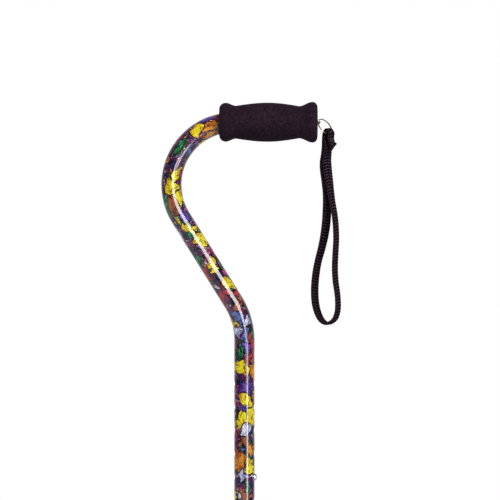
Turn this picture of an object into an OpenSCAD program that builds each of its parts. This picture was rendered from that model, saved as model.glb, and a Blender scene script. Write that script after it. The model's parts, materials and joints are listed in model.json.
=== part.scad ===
// Quad walking cane with an offset handle, standing on the floor with its origin under the
// middle of its base. X runs along the grip, Y across the base and Z up. Sizes in millimetres.

/* [Handle tube] */
// Outside diameter of the bent handle tube
tube_od = 22.2; // [21:0.1:24]
// Wall of the handle tube
tube_wall = 1.2; // [0.9:0.1:1.5]
// Bend radius of the neck, at the tube's centre line
neck_r = 68; // [60:1:80]
// Lean of the neck from the vertical, in degrees
neck_lean = 32; // [26:1:36]
// How far the neck bend's centre lies behind the shaft axis
neck_back = 11.4; // [5:0.1:20]
// Bend radius of the heel, where the neck runs into the shaft
heel_r = 80; // [60:1:100]
// Grip axis to the lower end of the handle tube
tube_drop = 543; // [535:1:580]

/* [Grip] */
// Length of the foam grip
grip_len = 106.8; // [100:0.1:115]
// Shaft axis to the free end of the grip
grip_reach = 79.4; // [72:0.1:86]
// Diameter of the swell in the middle
grip_swell_d = 42.5; // [40:0.1:46]
// Diameter of the flange at the neck
rear_flange_d = 42.3; // [40:0.1:46]
// Diameter of the flange at the free end
front_flange_d = 44.2; // [42:0.1:48]
// Diameter of the waist behind the rear flange
rear_waist_d = 35.8; // [33:0.1:38]
// Diameter of the waist behind the front flange
front_waist_d = 35; // [33:0.1:38]
// Rear end to the rear flange's crest, also its edge rounding
rear_crest = 7; // [5:0.1:8]
// Rear end to the rear waist
rear_waist = 18.4; // [15:0.1:22]
// Free end to the front flange's crest, also its edge rounding
front_crest = 5.4; // [4:0.1:7]
// Free end to the front waist
front_waist = 19.9; // [16:0.1:24]
// How far inside the grip the handle tube ends
end_recess = 6; // [5:0.1:8]
// Length of the plug's barrel in the handle tube
plug_len = 14; // [10:0.5:20]
// Thickness of the plug's flange
plug_flange = 1.6; // [1.2:0.1:2]

/* [Wrist loop] */
// Wire of the screw eye
eye_wire = 1.6; // [1.4:0.1:1.8]
// Hole through the screw eye
eye_hole = 3; // [2.8:0.1:3.4]
// Length of the screw eye's shank
eye_shank = 9; // [6:0.5:12]
// Space between the end plug and the screw eye
eye_stand = 1.7; // [1.2:0.1:2.2]
// Turn of the screw eye about the grip axis
eye_turn = 46; // [42:1:50]
// Outside diameter of the wire ring
ring_od = 20.9; // [20:0.1:22]
// Wire of the ring
ring_wire = 1.3; // [1.1:0.1:1.5]
// Angle at which the ring hangs away from the grip axis
ring_drop = 39; // [36:1:42]
// Width of the braided strap
strap_w = 11.5; // [10.5:0.1:12]
// Share of the strap's width that is left where it bunches up on the ring
strap_bunch = 0.9; // [0.85:0.01:0.95]
// Thickness of the strap
strap_t = 3.2; // [2.6:0.1:3.3]
// Turn of the strap's width away from the grip's direction, below the ring
strap_yaw = 55; // [52:1:58]
// Twist of the strap across its loop, in degrees for each millimetre
strap_twist = 0.45; // [0.35:0.05:0.5]
// How far the strap's upper length turns its broad side to the front, in degrees
strap_face = 20; // [16:1:24]
// Length below the ring over which the strap turns to its own direction
strap_turn = 30; // [24:1:40]
// Slant of the strap's cut tail, for each millimetre of its width
strap_cut = 0.9; // [0.5:0.1:1]

/* [Height setting] */
// Number of height holes
hole_count = 10; // [7:1:10]
// Distance between height holes
hole_pitch = 25.4; // [24:0.1:25.4]
// Diameter of the height holes
hole_d = 8.2; // [7.8:0.1:9]
// Lower end of the handle tube to the lowest hole
first_hole = 30; // [30:0.5:36]
// The hole that the snap button is in, counted up from 0
setting = 5; // [2:1:6]
// Floor to the snap button
button_z = 430; // [430:1:436]

/* [Lower tube] */
// Wall of the lower tube
lower_wall = 1.2; // [1:0.1:1.4]
// Gap around the lower tube where it slides in the handle tube
slide_gap = 0.375; // [0.3:0.025:0.45]
// Snap button to the top of the lower tube
button_below_top = 34; // [32:1:36]
// Thickness of the glide's head
glide_head = 4; // [3:0.5:5]
// Depth of the glide's stem
glide_stem = 10; // [8:0.5:12]

/* [Snap button] */
// Diameter of the snap button
button_d = 7.5; // [7:0.1:7.6]
// How far the button stands out of the handle tube
button_out = 2.6; // [2:0.1:3]
// Diameter of the button's inner flange
button_flange_d = 9.6; // [9:0.1:10]
// Thickness of the button's flange and of the spring strip
strip_t = 0.7; // [0.5:0.05:0.8]
// Width of the spring strip
strip_w = 7; // [6:0.1:8]
// Length of the spring's arms
spring_len = 44; // [36:1:50]

/* [Lock collar] */
// Height of the threaded sleeve on the handle tube
sleeve_h = 24; // [22:0.5:26]
// Wall of the threaded sleeve
sleeve_wall = 2.2; // [1.8:0.1:2.6]
// Height of the sleeve's shoulder
shoulder_h = 4; // [3:0.5:5]
// Thickness of the lip under the end of the handle tube
lip_t = 1.5; // [1.2:0.1:1.8]
// Depth of the sleeve's thread
thread_h = 0.8; // [0.6:0.1:1]
// Pitch of the sleeve's thread
thread_pitch = 3.4; // [3:0.1:3.8]
// Height of the split collet
collet_h = 6; // [5:0.1:6.5]
// Wall of the collet at its thin end
collet_wall = 1.6; // [1.4:0.1:1.8]
// Width of the collet's split
collet_split = 2; // [1.5:0.1:3]
// Wall of the lock nut around its thread
nut_wall = 2.6; // [2.2:0.1:3.2]
// Thickness of the lock nut's floor
nut_floor = 2.4; // [2:0.1:2.8]
// Number of finger ribs around the lock nut
nut_ribs = 16; // [12:1:20]

/* [Base] */
// Distance between the feet along the grip
foot_len = 170; // [160:1:190]
// Distance between the feet across the grip
foot_wid = 117; // [112:1:130]
// Line of the near feet to the shaft axis
shaft_set = 33.5; // [31:0.5:40]
// Outside diameter of the leg hoops
hoop_od = 15.9; // [15:0.1:17]
// Wall of the leg hoops
hoop_wall = 1.5; // [1.2:0.1:2]
// Floor to the crown of the hoops
crown_z = 112; // [108:1:118]
// Half length of the hoops' crown
crown_half = 22; // [21:0.5:24]
// Bend radius beside the crown
crown_r = 45; // [36:1:46]
// Floor to the corner of the hoops' knees
knee_z = 78; // [76:1:84]
// Bend radius of the knees
knee_r = 38; // [30:1:40]
// Depth of the weld seat that the post leaves in each hoop
weld_seat = 1; // [0.6:0.1:1.2]
// Wall of the base post
post_wall = 3.1; // [2.5:0.1:3.6]
// Floor to the lower end of the base post
post_z = 88; // [84:1:90]
// Length of the base post
post_len = 68; // [66:1:69]
// Height of the post plug's stem
post_stem = 8; // [6:0.5:10]
// Thickness of the post plug's flange
post_flange = 3; // [2:0.5:4]

/* [Feet] */
// Outside diameter of the rubber tips around the hoops
tip_d = 23; // [21.5:0.5:25]
// Outside diameter of the rubber tips on the floor
tip_foot_d = 33; // [30:0.5:36]
// Height of the rubber tips
tip_h = 34; // [32:0.5:36]
// Thickness of the rubber sole
tip_sole = 9; // [8:0.5:11]
// Thickness of the tip's straight foot edge
tip_edge = 4; // [3:0.5:5]
// Depth and width of the rings cut in the sole
tread = 1.6; // [1.2:0.1:2]
// Thickness of the steel washer in each tip
washer_t = 1.2; // [1:0.1:1.6]

/* [Post bolt] */
// Diameter of the bolt through the base post
bolt_d = 6; // [5:0.1:7]
// Floor to the bolt
bolt_z = 142; // [140:1:144]
// Width across flats of the bolt head and of the nut
bolt_flats = 10; // [9.6:0.1:11]
// Height of the bolt head
bolt_head = 4; // [3.5:0.1:5]
// Height of the lock nut on the bolt
bolt_nut = 6; // [5:0.1:7]
// Diameter of the saddle washers
saddle_d = 13; // [12.8:0.1:14]
// Height of the saddle washers above the post
saddle_h = 2.5; // [2:0.1:3]

/* [Hidden] */
$fn = 64;

// Clearances: a seat between fixed pieces, a running gap between moving ones, and a cut past a face
seat_gap = 0.05;
run_gap = 0.3;
past = 1;
// How far a tube's straights lap into its bends, and how much thicker the bends are
bend_lap = 0.5;
bend_swell = 0.05;

// Radii
tube_r = tube_od / 2;
tube_ir = tube_r - tube_wall;
lower_r = tube_ir - slide_gap;
lower_ir = lower_r - lower_wall;
hoop_r = hoop_od / 2;
hoop_ir = hoop_r - hoop_wall;
post_ir = lower_r + seat_gap;
post_r = post_ir + post_wall;
bolt_r = bolt_d / 2;

// Heights of the sliding half, from the hole that the button is in
shaft_y = shaft_set - foot_wid / 2;
tube_end_z = button_z - first_hole - setting * hole_pitch;
grip_z = tube_end_z + tube_drop;

// Centre line of the handle tube: the grip run, the neck and the shaft, with bends at the corners
tube_tip_x = grip_reach - end_recess;
neck_x = -neck_back - neck_r * cos(neck_lean);
neck_z = grip_z - neck_r - neck_r * sin(neck_lean);
neck_corner = [neck_x - (grip_z - neck_z) * tan(neck_lean), shaft_y, grip_z];
heel_corner = [0, shaft_y, neck_z + neck_x / tan(neck_lean)];
tube_line = [[tube_tip_x, shaft_y, grip_z], neck_corner, heel_corner, [0, shaft_y, tube_end_z]];
tube_bends = [0, neck_r, heel_r, 0];

// The eye and the ring: the wire passes straight through the eye, along eye_axis
eye_r = (eye_hole + eye_wire) / 2;
eye_at = [tube_tip_x + plug_flange + eye_stand + eye_r + eye_wire / 2, shaft_y, grip_z];
eye_axis = [0, cos(eye_turn), sin(eye_turn)];
ring_r = (ring_od - ring_wire) / 2;
ring_slack = (eye_hole - ring_wire) / 2 - run_gap;
ring_dir = [cos(ring_drop), sin(ring_drop) * sin(eye_turn), -sin(ring_drop) * cos(eye_turn)];
ring_centre = eye_at + (ring_slack + ring_r) * ring_dir;

// The ring's lowest point, which the strap hangs on, and the level run of the wire there
ring_down = -unit(ring_dir * ring_dir[2] + eye_axis * eye_axis[2]);
ring_low = ring_centre + ring_r * ring_down;
ring_side = cross(cross(ring_dir, eye_axis), ring_down);

// Route of the strap in its loop's plane, from the ring's lowest point: across, and up.
// It runs from the free tail over the ring, down one leg and up the other to the seam.
strap_route = [
    [6.6, -15.4], [6.4, -12.4], [4.6, -9.6], [3.3, -7.3], [2.9, -5.2], [3.1, -2.6], [3.6, 0.4], [2.8, 2.9],
    [0.8, 4.2], [-1.6, 4.2], [-3.4, 2.9], [-4.2, 0.6], [-4.6, -3], [-4.6, -9], [-4.6, -15], [-5.2, -22],
    [-6.3, -29], [-6.5, -36], [-5.5, -43.6], [-4.3, -50], [-3.3, -57], [-2.4, -64], [-2.1, -73],
    [-2.5, -83], [-3.2, -93], [-4.4, -102], [-6.8, -113.4], [-10.7, -126.4], [-14.1, -136], [-16.9, -146],
    [-19, -158], [-19.9, -169], [-19.6, -179], [-18, -188], [-14.9, -196], [-10.2, -202.6], [-3.6, -206.2],
    [3, -205], [8.8, -201], [12, -194.5], [13.1, -187], [12.7, -178], [11.5, -170], [9.8, -161],
    [8.8, -150], [8.9, -139], [9.7, -127], [10.5, -114], [10, -101], [8.8, -91], [7, -82], [4.8, -73],
    [2.4, -62], [0.3, -50], [-0.9, -43.6], [-1.9, -36], [-2.6, -29], [-1.8, -22], [-1.1, -15], [-1, -7]
];
strap_points = [for (p = strap_route) ring_low + p[0] * [ring_side[1], -ring_side[0], 0] + [0, 0, p[1]]];
// On the ring the strap lies along its wire, and over the turn below it comes round to its own yaw
function within(share) = min(1, max(0, share));
function strap_free(p) = within(-p[1] / strap_turn);
function strap_front(p) = strap_face * within((5 - p[0]) / 6) * within((p[1] + 140) / 40);
function strap_angle(p) = strap_yaw + strap_twist * p[0] - strap_front(p);
function strap_across(p) = [cos(strap_angle(p)), sin(strap_angle(p)), 0];
strap_dirs = [for (p = strap_route)
    unit(ring_side * (1 - strap_free(p)) + strap_across(p) * strap_free(p))];
strap_widths = [for (p = strap_route) strap_w * (strap_bunch + (1 - strap_bunch) * strap_free(p))];
// Half section of the strap with bevelled edges, as shares of its width and thickness
strap_section = [
    [0.5, -0.2], [0.5, 0.2], [0.42, 0.5], [-0.42, 0.5],
    [-0.5, 0.2], [-0.5, -0.2], [-0.42, -0.5], [0.42, -0.5]
];

// The lock collar, from the handle tube's end down
sleeve_r = tube_r + sleeve_wall;
sleeve_top = tube_end_z + sleeve_h;
sleeve_bottom = tube_end_z - lip_t;
shoulder_r = sleeve_r + thread_h + run_gap + nut_wall;
collet_top = sleeve_bottom - run_gap;
collet_bottom = collet_top - collet_h;
collet_ir = lower_r + slide_gap / 3;
collet_thin_r = collet_ir + collet_wall;
collet_wide_r = sleeve_r - collet_wall / 2;
nut_top = sleeve_top - shoulder_h - run_gap;
nut_inner_floor = collet_bottom - run_gap;
nut_bottom = nut_inner_floor - nut_floor;
nut_bore_r = sleeve_r + thread_h + run_gap;
nut_r = nut_bore_r + nut_wall;
nut_rib_r = nut_wall / 2;

// The lower tube, its glide and its snap button
lower_bottom = post_z + post_stem;
lower_top = button_z + button_below_top;
button_r = button_d / 2;
button_tip_x = tube_r + button_out;
button_flange_r = button_flange_d / 2;
button_flange_x = sqrt(pow(lower_ir, 2) - pow(button_flange_r, 2)) - run_gap / 2;
strip_back_x = -sqrt(pow(lower_ir, 2) - pow(strip_w / 2, 2)) + seat_gap;

// Centre lines of the two hoops: up from a foot, over the knee, along the crown beside the post
crown_offset = post_r + hoop_r - weld_seat;
hoop_bottom = tip_sole + washer_t;
hoop_bends = [0, knee_r, crown_r, crown_r, knee_r, 0];
foot_x = foot_len / 2;
foot_y = foot_wid / 2;
// Each foot: along the grip, across it
feet = [[-foot_x, -foot_y], [foot_x, -foot_y], [-foot_x, foot_y], [foot_x, foot_y]];

function hoop_line(side) = [
    [-foot_x, side * foot_y, hoop_bottom],
    [-foot_x, side * foot_y, knee_z],
    [-crown_half, shaft_y + side * crown_offset, crown_z],
    [crown_half, shaft_y + side * crown_offset, crown_z],
    [foot_x, side * foot_y, knee_z],
    [foot_x, side * foot_y, hoop_bottom]
];

function unit(v) = v / norm(v);
function heading(line, i) = unit(line[i + 1] - line[i]);
function turn(line, i) = acos(heading(line, i - 1) * heading(line, i));
function setback(line, bends, i) = bends[i] == 0 ? 0 : bends[i] * tan(turn(line, i) / 2);
function last(list) = len(list) - 1;
// The same line with both ends drawn out by a length
function drawn_out(line, more) = [
    for (i = [0:last(line)])
        i == 0 ? line[0] - more * heading(line, 0)
        : i == last(line) ? line[i] + more * heading(line, i - 1)
        : line[i]
];

// A tube, or a bar where r_in is 0, along a line of points and bent to a radius at each corner.
// The straights lap into the bends, whose wall is a hair thicker, as a bent tube's is on its inside.
module bent_tube(line, bends, r_out, r_in = 0) {
    for (i = [0:last(line) - 1]) {
        dir = heading(line, i);
        from = line[i] + dir * (setback(line, bends, i) - (bends[i] > 0 ? bend_lap : 0));
        to = line[i + 1] - dir * (setback(line, bends, i + 1) - (bends[i + 1] > 0 ? bend_lap : 0));
        translate(from)
            rotate([0, acos(dir[2]), atan2(dir[1], dir[0])])
                ring(r_out, r_in, norm(to - from));
    }
    for (i = [1:last(line) - 1]) {
        into = heading(line, i - 1);
        out = heading(line, i);
        inward = unit(out - into * (into * out));
        centre = line[i] - into * setback(line, bends, i) + inward * bends[i];
        axis = cross(-inward, into);
        multmatrix([
            [-inward[0], into[0], axis[0], centre[0]],
            [-inward[1], into[1], axis[1], centre[1]],
            [-inward[2], into[2], axis[2], centre[2]]
        ])
            rotate_extrude(angle = turn(line, i))
                translate([bends[i], 0])
                    difference() {
                        circle(r = r_out + bend_swell);
                        if (r_in > 0)
                            circle(r = r_in - bend_swell);
                    }
    }
}

module ring(r_out, r_in, h) {
    difference() {
        cylinder(h = h, r = r_out);
        if (r_in > 0)
            translate([0, 0, -past])
                cylinder(h = h + 2 * past, r = r_in);
    }
}

// Places a piece that stands on the shaft axis at a height
module on_shaft(z) {
    translate([0, shaft_y, z])
        children();
}

// Turns a piece that is drawn upwards so that it points along the grip, from a place on its axis
module along_grip(x) {
    translate([x, shaft_y, grip_z])
        rotate([0, 90, 0])
            children();
}

module handle_tube() {
    color("mediumpurple")
        difference() {
            bent_tube(tube_line, tube_bends, tube_r, tube_ir);
            for (i = [0:hole_count - 1])
                on_shaft(tube_end_z + first_hole + i * hole_pitch)
                    rotate([0, 90, 0])
                        cylinder(h = tube_od + 2 * past, d = hole_d, center = true);
        }
}

// Grip outline: rounded flanges at both ends, two waists and a swell between them
function ease(a, b, t) = a + (b - a) * (1 - cos(180 * t)) / 2;
function arch(a, b, t) = a + (b - a) * sin(90 * t);
rear_flange_r = rear_flange_d / 2;
front_flange_r = front_flange_d / 2;
rear_waist_r = rear_waist_d / 2;
front_waist_r = front_waist_d / 2;
swell_r = grip_swell_d / 2;
swell_x = (rear_waist + grip_len - front_waist) / 2;
grip_outline = concat(
    [[0, 0]],
    [for (a = [0:15:90]) [rear_flange_r - rear_crest * (1 - sin(a)), rear_crest * (1 - cos(a))]],
    [for (t = [0.2:0.2:0.8])
        [ease(rear_flange_r, rear_waist_r, t), rear_crest + (rear_waist - rear_crest) * t]],
    [for (t = [0:0.125:1])
        [arch(rear_waist_r, swell_r, t), rear_waist + (swell_x - rear_waist) * t]],
    [for (t = [0.875:-0.125:0])
        [arch(front_waist_r, swell_r, t), grip_len - front_waist - (grip_len - front_waist - swell_x) * t]],
    [for (t = [0.2:0.2:0.8])
        [ease(front_waist_r, front_flange_r, t), grip_len - front_waist + (front_waist - front_crest) * t]],
    [for (a = [90:-15:0])
        [front_flange_r - front_crest * (1 - sin(a)), grip_len - front_crest * (1 - cos(a))]],
    [[0, grip_len]]
);

module foam_grip() {
    color("#2a1e28")
        difference() {
            along_grip(grip_reach - grip_len)
                rotate_extrude()
                    polygon(grip_outline);
            bent_tube(drawn_out(tube_line, end_recess + past), tube_bends, tube_r);
        }
}

module end_plug() {
    color("#1c1a1d")
        along_grip(tube_tip_x - plug_len)
            difference() {
                union() {
                    cylinder(h = plug_len, r = tube_ir - seat_gap);
                    translate([0, 0, plug_len])
                        cylinder(h = plug_flange, r = tube_r);
                }
                translate([0, 0, plug_len + plug_flange - eye_shank])
                    cylinder(h = eye_shank + past, d = eye_wire);
            }
}

module strap_eye() {
    color("silver") {
        translate(eye_at)
            rotate([eye_turn - 90, 0, 0])
                rotate_extrude()
                    translate([eye_r, 0])
                        circle(d = eye_wire);
        along_grip(tube_tip_x + plug_flange - eye_shank)
            cylinder(h = eye_at[0] - eye_r - tube_tip_x - plug_flange + eye_shank, d = eye_wire);
    }
}

module strap_ring() {
    // Where the wire's two ends meet, and the space left between them
    split_at = 60;
    split = 3;
    axis = cross(-ring_dir, eye_axis);
    color("silver")
        multmatrix([
            [-ring_dir[0], eye_axis[0], axis[0], ring_centre[0]],
            [-ring_dir[1], eye_axis[1], axis[1], ring_centre[1]],
            [-ring_dir[2], eye_axis[2], axis[2], ring_centre[2]]
        ])
            rotate([0, 0, split_at])
                rotate_extrude(angle = 360 - split)
                    translate([ring_r, 0])
                        circle(d = ring_wire);
}

module wrist_strap() {
    sides = len(strap_section);
    rings = len(strap_points);
    points = [
        for (i = [0:rings - 1], corner = strap_section)
            let (
                along = unit(strap_points[min(i + 1, rings - 1)] - strap_points[max(i - 1, 0)]),
                across = strap_dirs[i] + along * strap_cut * max(0, 1 - i / 3),
                through = unit(cross(along, across))
            )
            strap_points[i] + across * corner[0] * strap_widths[i] + through * corner[1] * strap_t
    ];
    walls = [
        for (i = [0:rings - 2], k = [0:sides - 1])
            let (
                a = i * sides + k,
                b = i * sides + (k + 1) % sides
            )
            each [[a, b, b + sides], [a, b + sides, a + sides]]
    ];
    first_cap = [for (k = [sides - 1:-1:0]) k];
    last_cap = [for (k = [0:sides - 1]) (rings - 1) * sides + k];
    color("#291f28")
        polyhedron(points, concat(walls, [first_cap], [last_cap]));
}

module thread_sleeve() {
    turns = floor((nut_top - tube_end_z) / thread_pitch);
    color("#1c1a1d")
        on_shaft(0) {
            difference() {
                union() {
                    translate([0, 0, sleeve_bottom])
                        cylinder(h = sleeve_top - sleeve_bottom, r = sleeve_r);
                    translate([0, 0, sleeve_top - shoulder_h])
                        cylinder(h = shoulder_h, r1 = shoulder_r, r2 = shoulder_r - shoulder_h / 4);
                    for (i = [0:turns - 1])
                        translate([0, 0, tube_end_z + thread_pitch * (i + 0.5)])
                            cylinder(h = thread_pitch / 2, r = sleeve_r + thread_h);
                }
                translate([0, 0, tube_end_z])
                    cylinder(h = sleeve_h + past, r = tube_r);
                translate([0, 0, sleeve_bottom - past])
                    cylinder(h = lip_t + 2 * past, r = lower_r + slide_gap);
            }
        }
}

module collet() {
    color("whitesmoke")
        on_shaft(collet_bottom)
            difference() {
                cylinder(h = collet_h, r1 = collet_thin_r, r2 = collet_wide_r);
                translate([0, 0, -past])
                    cylinder(h = collet_h + 2 * past, r = collet_ir);
                translate([0, -collet_split / 2, -past])
                    cube([collet_wide_r + past, collet_split, collet_h + 2 * past]);
            }
}

module lock_nut() {
    h = nut_top - nut_bottom;
    color("#1c1a1d")
        on_shaft(nut_bottom)
            difference() {
                union() {
                    cylinder(h = h, r = nut_r);
                    for (i = [0:nut_ribs - 1])
                        rotate([0, 0, i * 360 / nut_ribs])
                            translate([nut_r, 0, nut_rib_r])
                                cylinder(h = h - 2 * nut_rib_r, r = nut_rib_r);
                }
                translate([0, 0, -past])
                    cylinder(h = nut_floor + 2 * past, r = lower_r + slide_gap);
                translate([0, 0, nut_floor])
                    cylinder(h = collet_h + 2 * run_gap, r1 = collet_thin_r + run_gap, r2 = nut_bore_r);
                translate([0, 0, nut_floor + collet_h + run_gap])
                    cylinder(h = h, r = nut_bore_r);
            }
}

module lower_tube() {
    color("lightgray")
        difference() {
            on_shaft(lower_bottom)
                ring(lower_r, lower_ir, lower_top - lower_bottom);
            on_shaft(button_z)
                rotate([0, 90, 0])
                    cylinder(h = lower_r + past, r = button_r + run_gap);
            post_bolt_hole();
        }
}

module tube_glide() {
    bore = lower_ir / 2;
    color("#1c1a1d")
        on_shaft(lower_top - glide_stem)
            difference() {
                union() {
                    cylinder(h = glide_stem, r = lower_ir - seat_gap);
                    translate([0, 0, glide_stem])
                        cylinder(h = glide_head, r1 = tube_ir - slide_gap / 2, r2 = lower_ir);
                }
                translate([0, 0, -past])
                    cylinder(h = glide_stem + glide_head + 2 * past, r = bore);
            }
}

module snap_button() {
    dome = button_out * 0.7;
    color("silver")
        on_shaft(button_z)
            rotate([0, 90, 0])
                rotate_extrude()
                    polygon(concat(
                        [[0, button_flange_x - strip_t], [button_flange_r, button_flange_x - strip_t]],
                        [[button_flange_r, button_flange_x], [button_r, button_flange_x]],
                        [for (a = [0:15:90])
                            [button_r * cos(a), button_tip_x - dome * (1 - sin(a))]]
                    ));
}

// A strip of even thickness along a line of points in a plane, as an outline
function strip_normal(line, i) =
    let (
        along = unit(line[min(i + 1, last(line))] - line[max(i - 1, 0)])
    )
    [-along[1], along[0]];
function strip_outline(line, t) = concat(
    [for (i = [0:last(line)]) line[i] + strip_normal(line, i) * t / 2],
    [for (i = [last(line):-1:0]) line[i] - strip_normal(line, i) * t / 2]
);

module snap_spring() {
    // The strip runs down the tube's far wall, around a small bend and up behind the button
    foot = lower_ir / 4;
    back_x = strip_back_x + strip_t / 2;
    front_x = button_flange_x - 1.5 * strip_t;
    line = concat(
        [[back_x, button_r], [back_x, -button_r]],
        [for (a = [180:30:360]) [foot * cos(a), foot * sin(a) - spring_len]],
        [[front_x, -button_flange_r], [front_x, button_flange_r]]
    );
    color("silver")
        on_shaft(button_z)
            rotate([90, 0, 0])
                linear_extrude(strip_w, center = true)
                    polygon(strip_outline(line, strip_t));
}

module post_bolt_hole() {
    on_shaft(bolt_z)
        rotate([90, 0, 0])
            cylinder(h = 2 * (post_r + past), r = bolt_r + seat_gap, center = true);
}

module base_post() {
    color("#232226")
        difference() {
            on_shaft(post_z)
                ring(post_r, post_ir, post_len);
            post_bolt_hole();
        }
}

module post_plug() {
    color("#1c1a1d")
        on_shaft(post_z - post_flange) {
            cylinder(h = post_flange, r1 = post_r - post_flange / 2, r2 = post_r);
            cylinder(h = post_flange + post_stem, r = post_ir - seat_gap);
        }
}

module leg_hoop(side) {
    color("#232226")
        difference() {
            bent_tube(hoop_line(side), hoop_bends, hoop_r, hoop_ir);
            on_shaft(post_z)
                cylinder(h = post_len, r = post_r);
        }
}

module saddle_washers() {
    color("#1c1a1d")
        difference() {
            for (side = [-1, 1])
                on_shaft(bolt_z)
                    rotate([-90 * side, 0, 0])
                        translate([0, 0, post_ir])
                            ring(saddle_d / 2, bolt_r + seat_gap, post_wall + saddle_h);
            on_shaft(post_z)
                cylinder(h = post_len, r = post_r);
        }
}

module hexagon(flats, h) {
    cylinder(h = h, r = flats / 2 / cos(30), $fn = 6);
}

module base_bolt() {
    seat = post_r + saddle_h;
    color("silver")
        on_shaft(bolt_z)
            rotate([-90, 0, 0]) {
                translate([0, 0, -seat - bolt_head])
                    hexagon(bolt_flats, bolt_head);
                translate([0, 0, -seat])
                    cylinder(h = 2 * seat + bolt_nut + bolt_r / 2, r = bolt_r);
            }
}

module base_nut() {
    // The upper part of the nut is a round collar that holds the locking insert
    collar = bolt_nut / 3;
    color("silver")
        on_shaft(bolt_z)
            rotate([-90, 0, 0])
                translate([0, 0, post_r + saddle_h])
                    difference() {
                        union() {
                            hexagon(bolt_flats, bolt_nut - collar);
                            cylinder(h = bolt_nut, d = bolt_flats - collar / 2);
                        }
                        translate([0, 0, -past])
                            cylinder(h = bolt_nut + 2 * past, r = bolt_r + seat_gap);
                    }
}

module tip(foot) {
    neck_r = tip_d / 2;
    foot_r = tip_foot_d / 2;
    flare_h = tip_sole;
    lip = tread / 2;
    color("#302f31")
        translate([foot[0], foot[1], 0])
            difference() {
                rotate_extrude()
                    polygon(concat(
                        [[0, 0], [foot_r, 0]],
                        [for (a = [0:15:90])
                            [neck_r + (foot_r - neck_r) * (1 - sin(a)), tip_edge + flare_h * (1 - cos(a))]],
                        [[neck_r, tip_h - lip], [neck_r - lip, tip_h], [0, tip_h]]
                    ));
                translate([0, 0, tip_sole])
                    cylinder(h = tip_h, r = hoop_r);
                for (r = [tread * 3 : tread * 2.5 : foot_r - tread * 2])
                    translate([0, 0, -past])
                        ring(r + tread, r, past + tread);
            }
}

module tip_washers() {
    color("silver")
        for (foot = feet)
            translate([foot[0], foot[1], tip_sole])
                cylinder(h = washer_t, r = hoop_r - seat_gap);
}

handle_tube();
foam_grip();
end_plug();
strap_eye();
strap_ring();
wrist_strap();
thread_sleeve();
collet();
lock_nut();
lower_tube();
tube_glide();
snap_button();
snap_spring();
base_post();
post_plug();
leg_hoop(-1);  // near_leg_hoop
leg_hoop(1);  // far_leg_hoop
saddle_washers();
base_bolt();
base_nut();
tip(feet[0]);  // tip_near_left
tip(feet[1]);  // tip_near_right
tip(feet[2]);  // tip_far_left
tip(feet[3]);  // tip_far_right
tip_washers();
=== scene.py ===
import json
from math import atan2, cos, dist, hypot, pi, radians, sin, sqrt, tan

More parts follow.
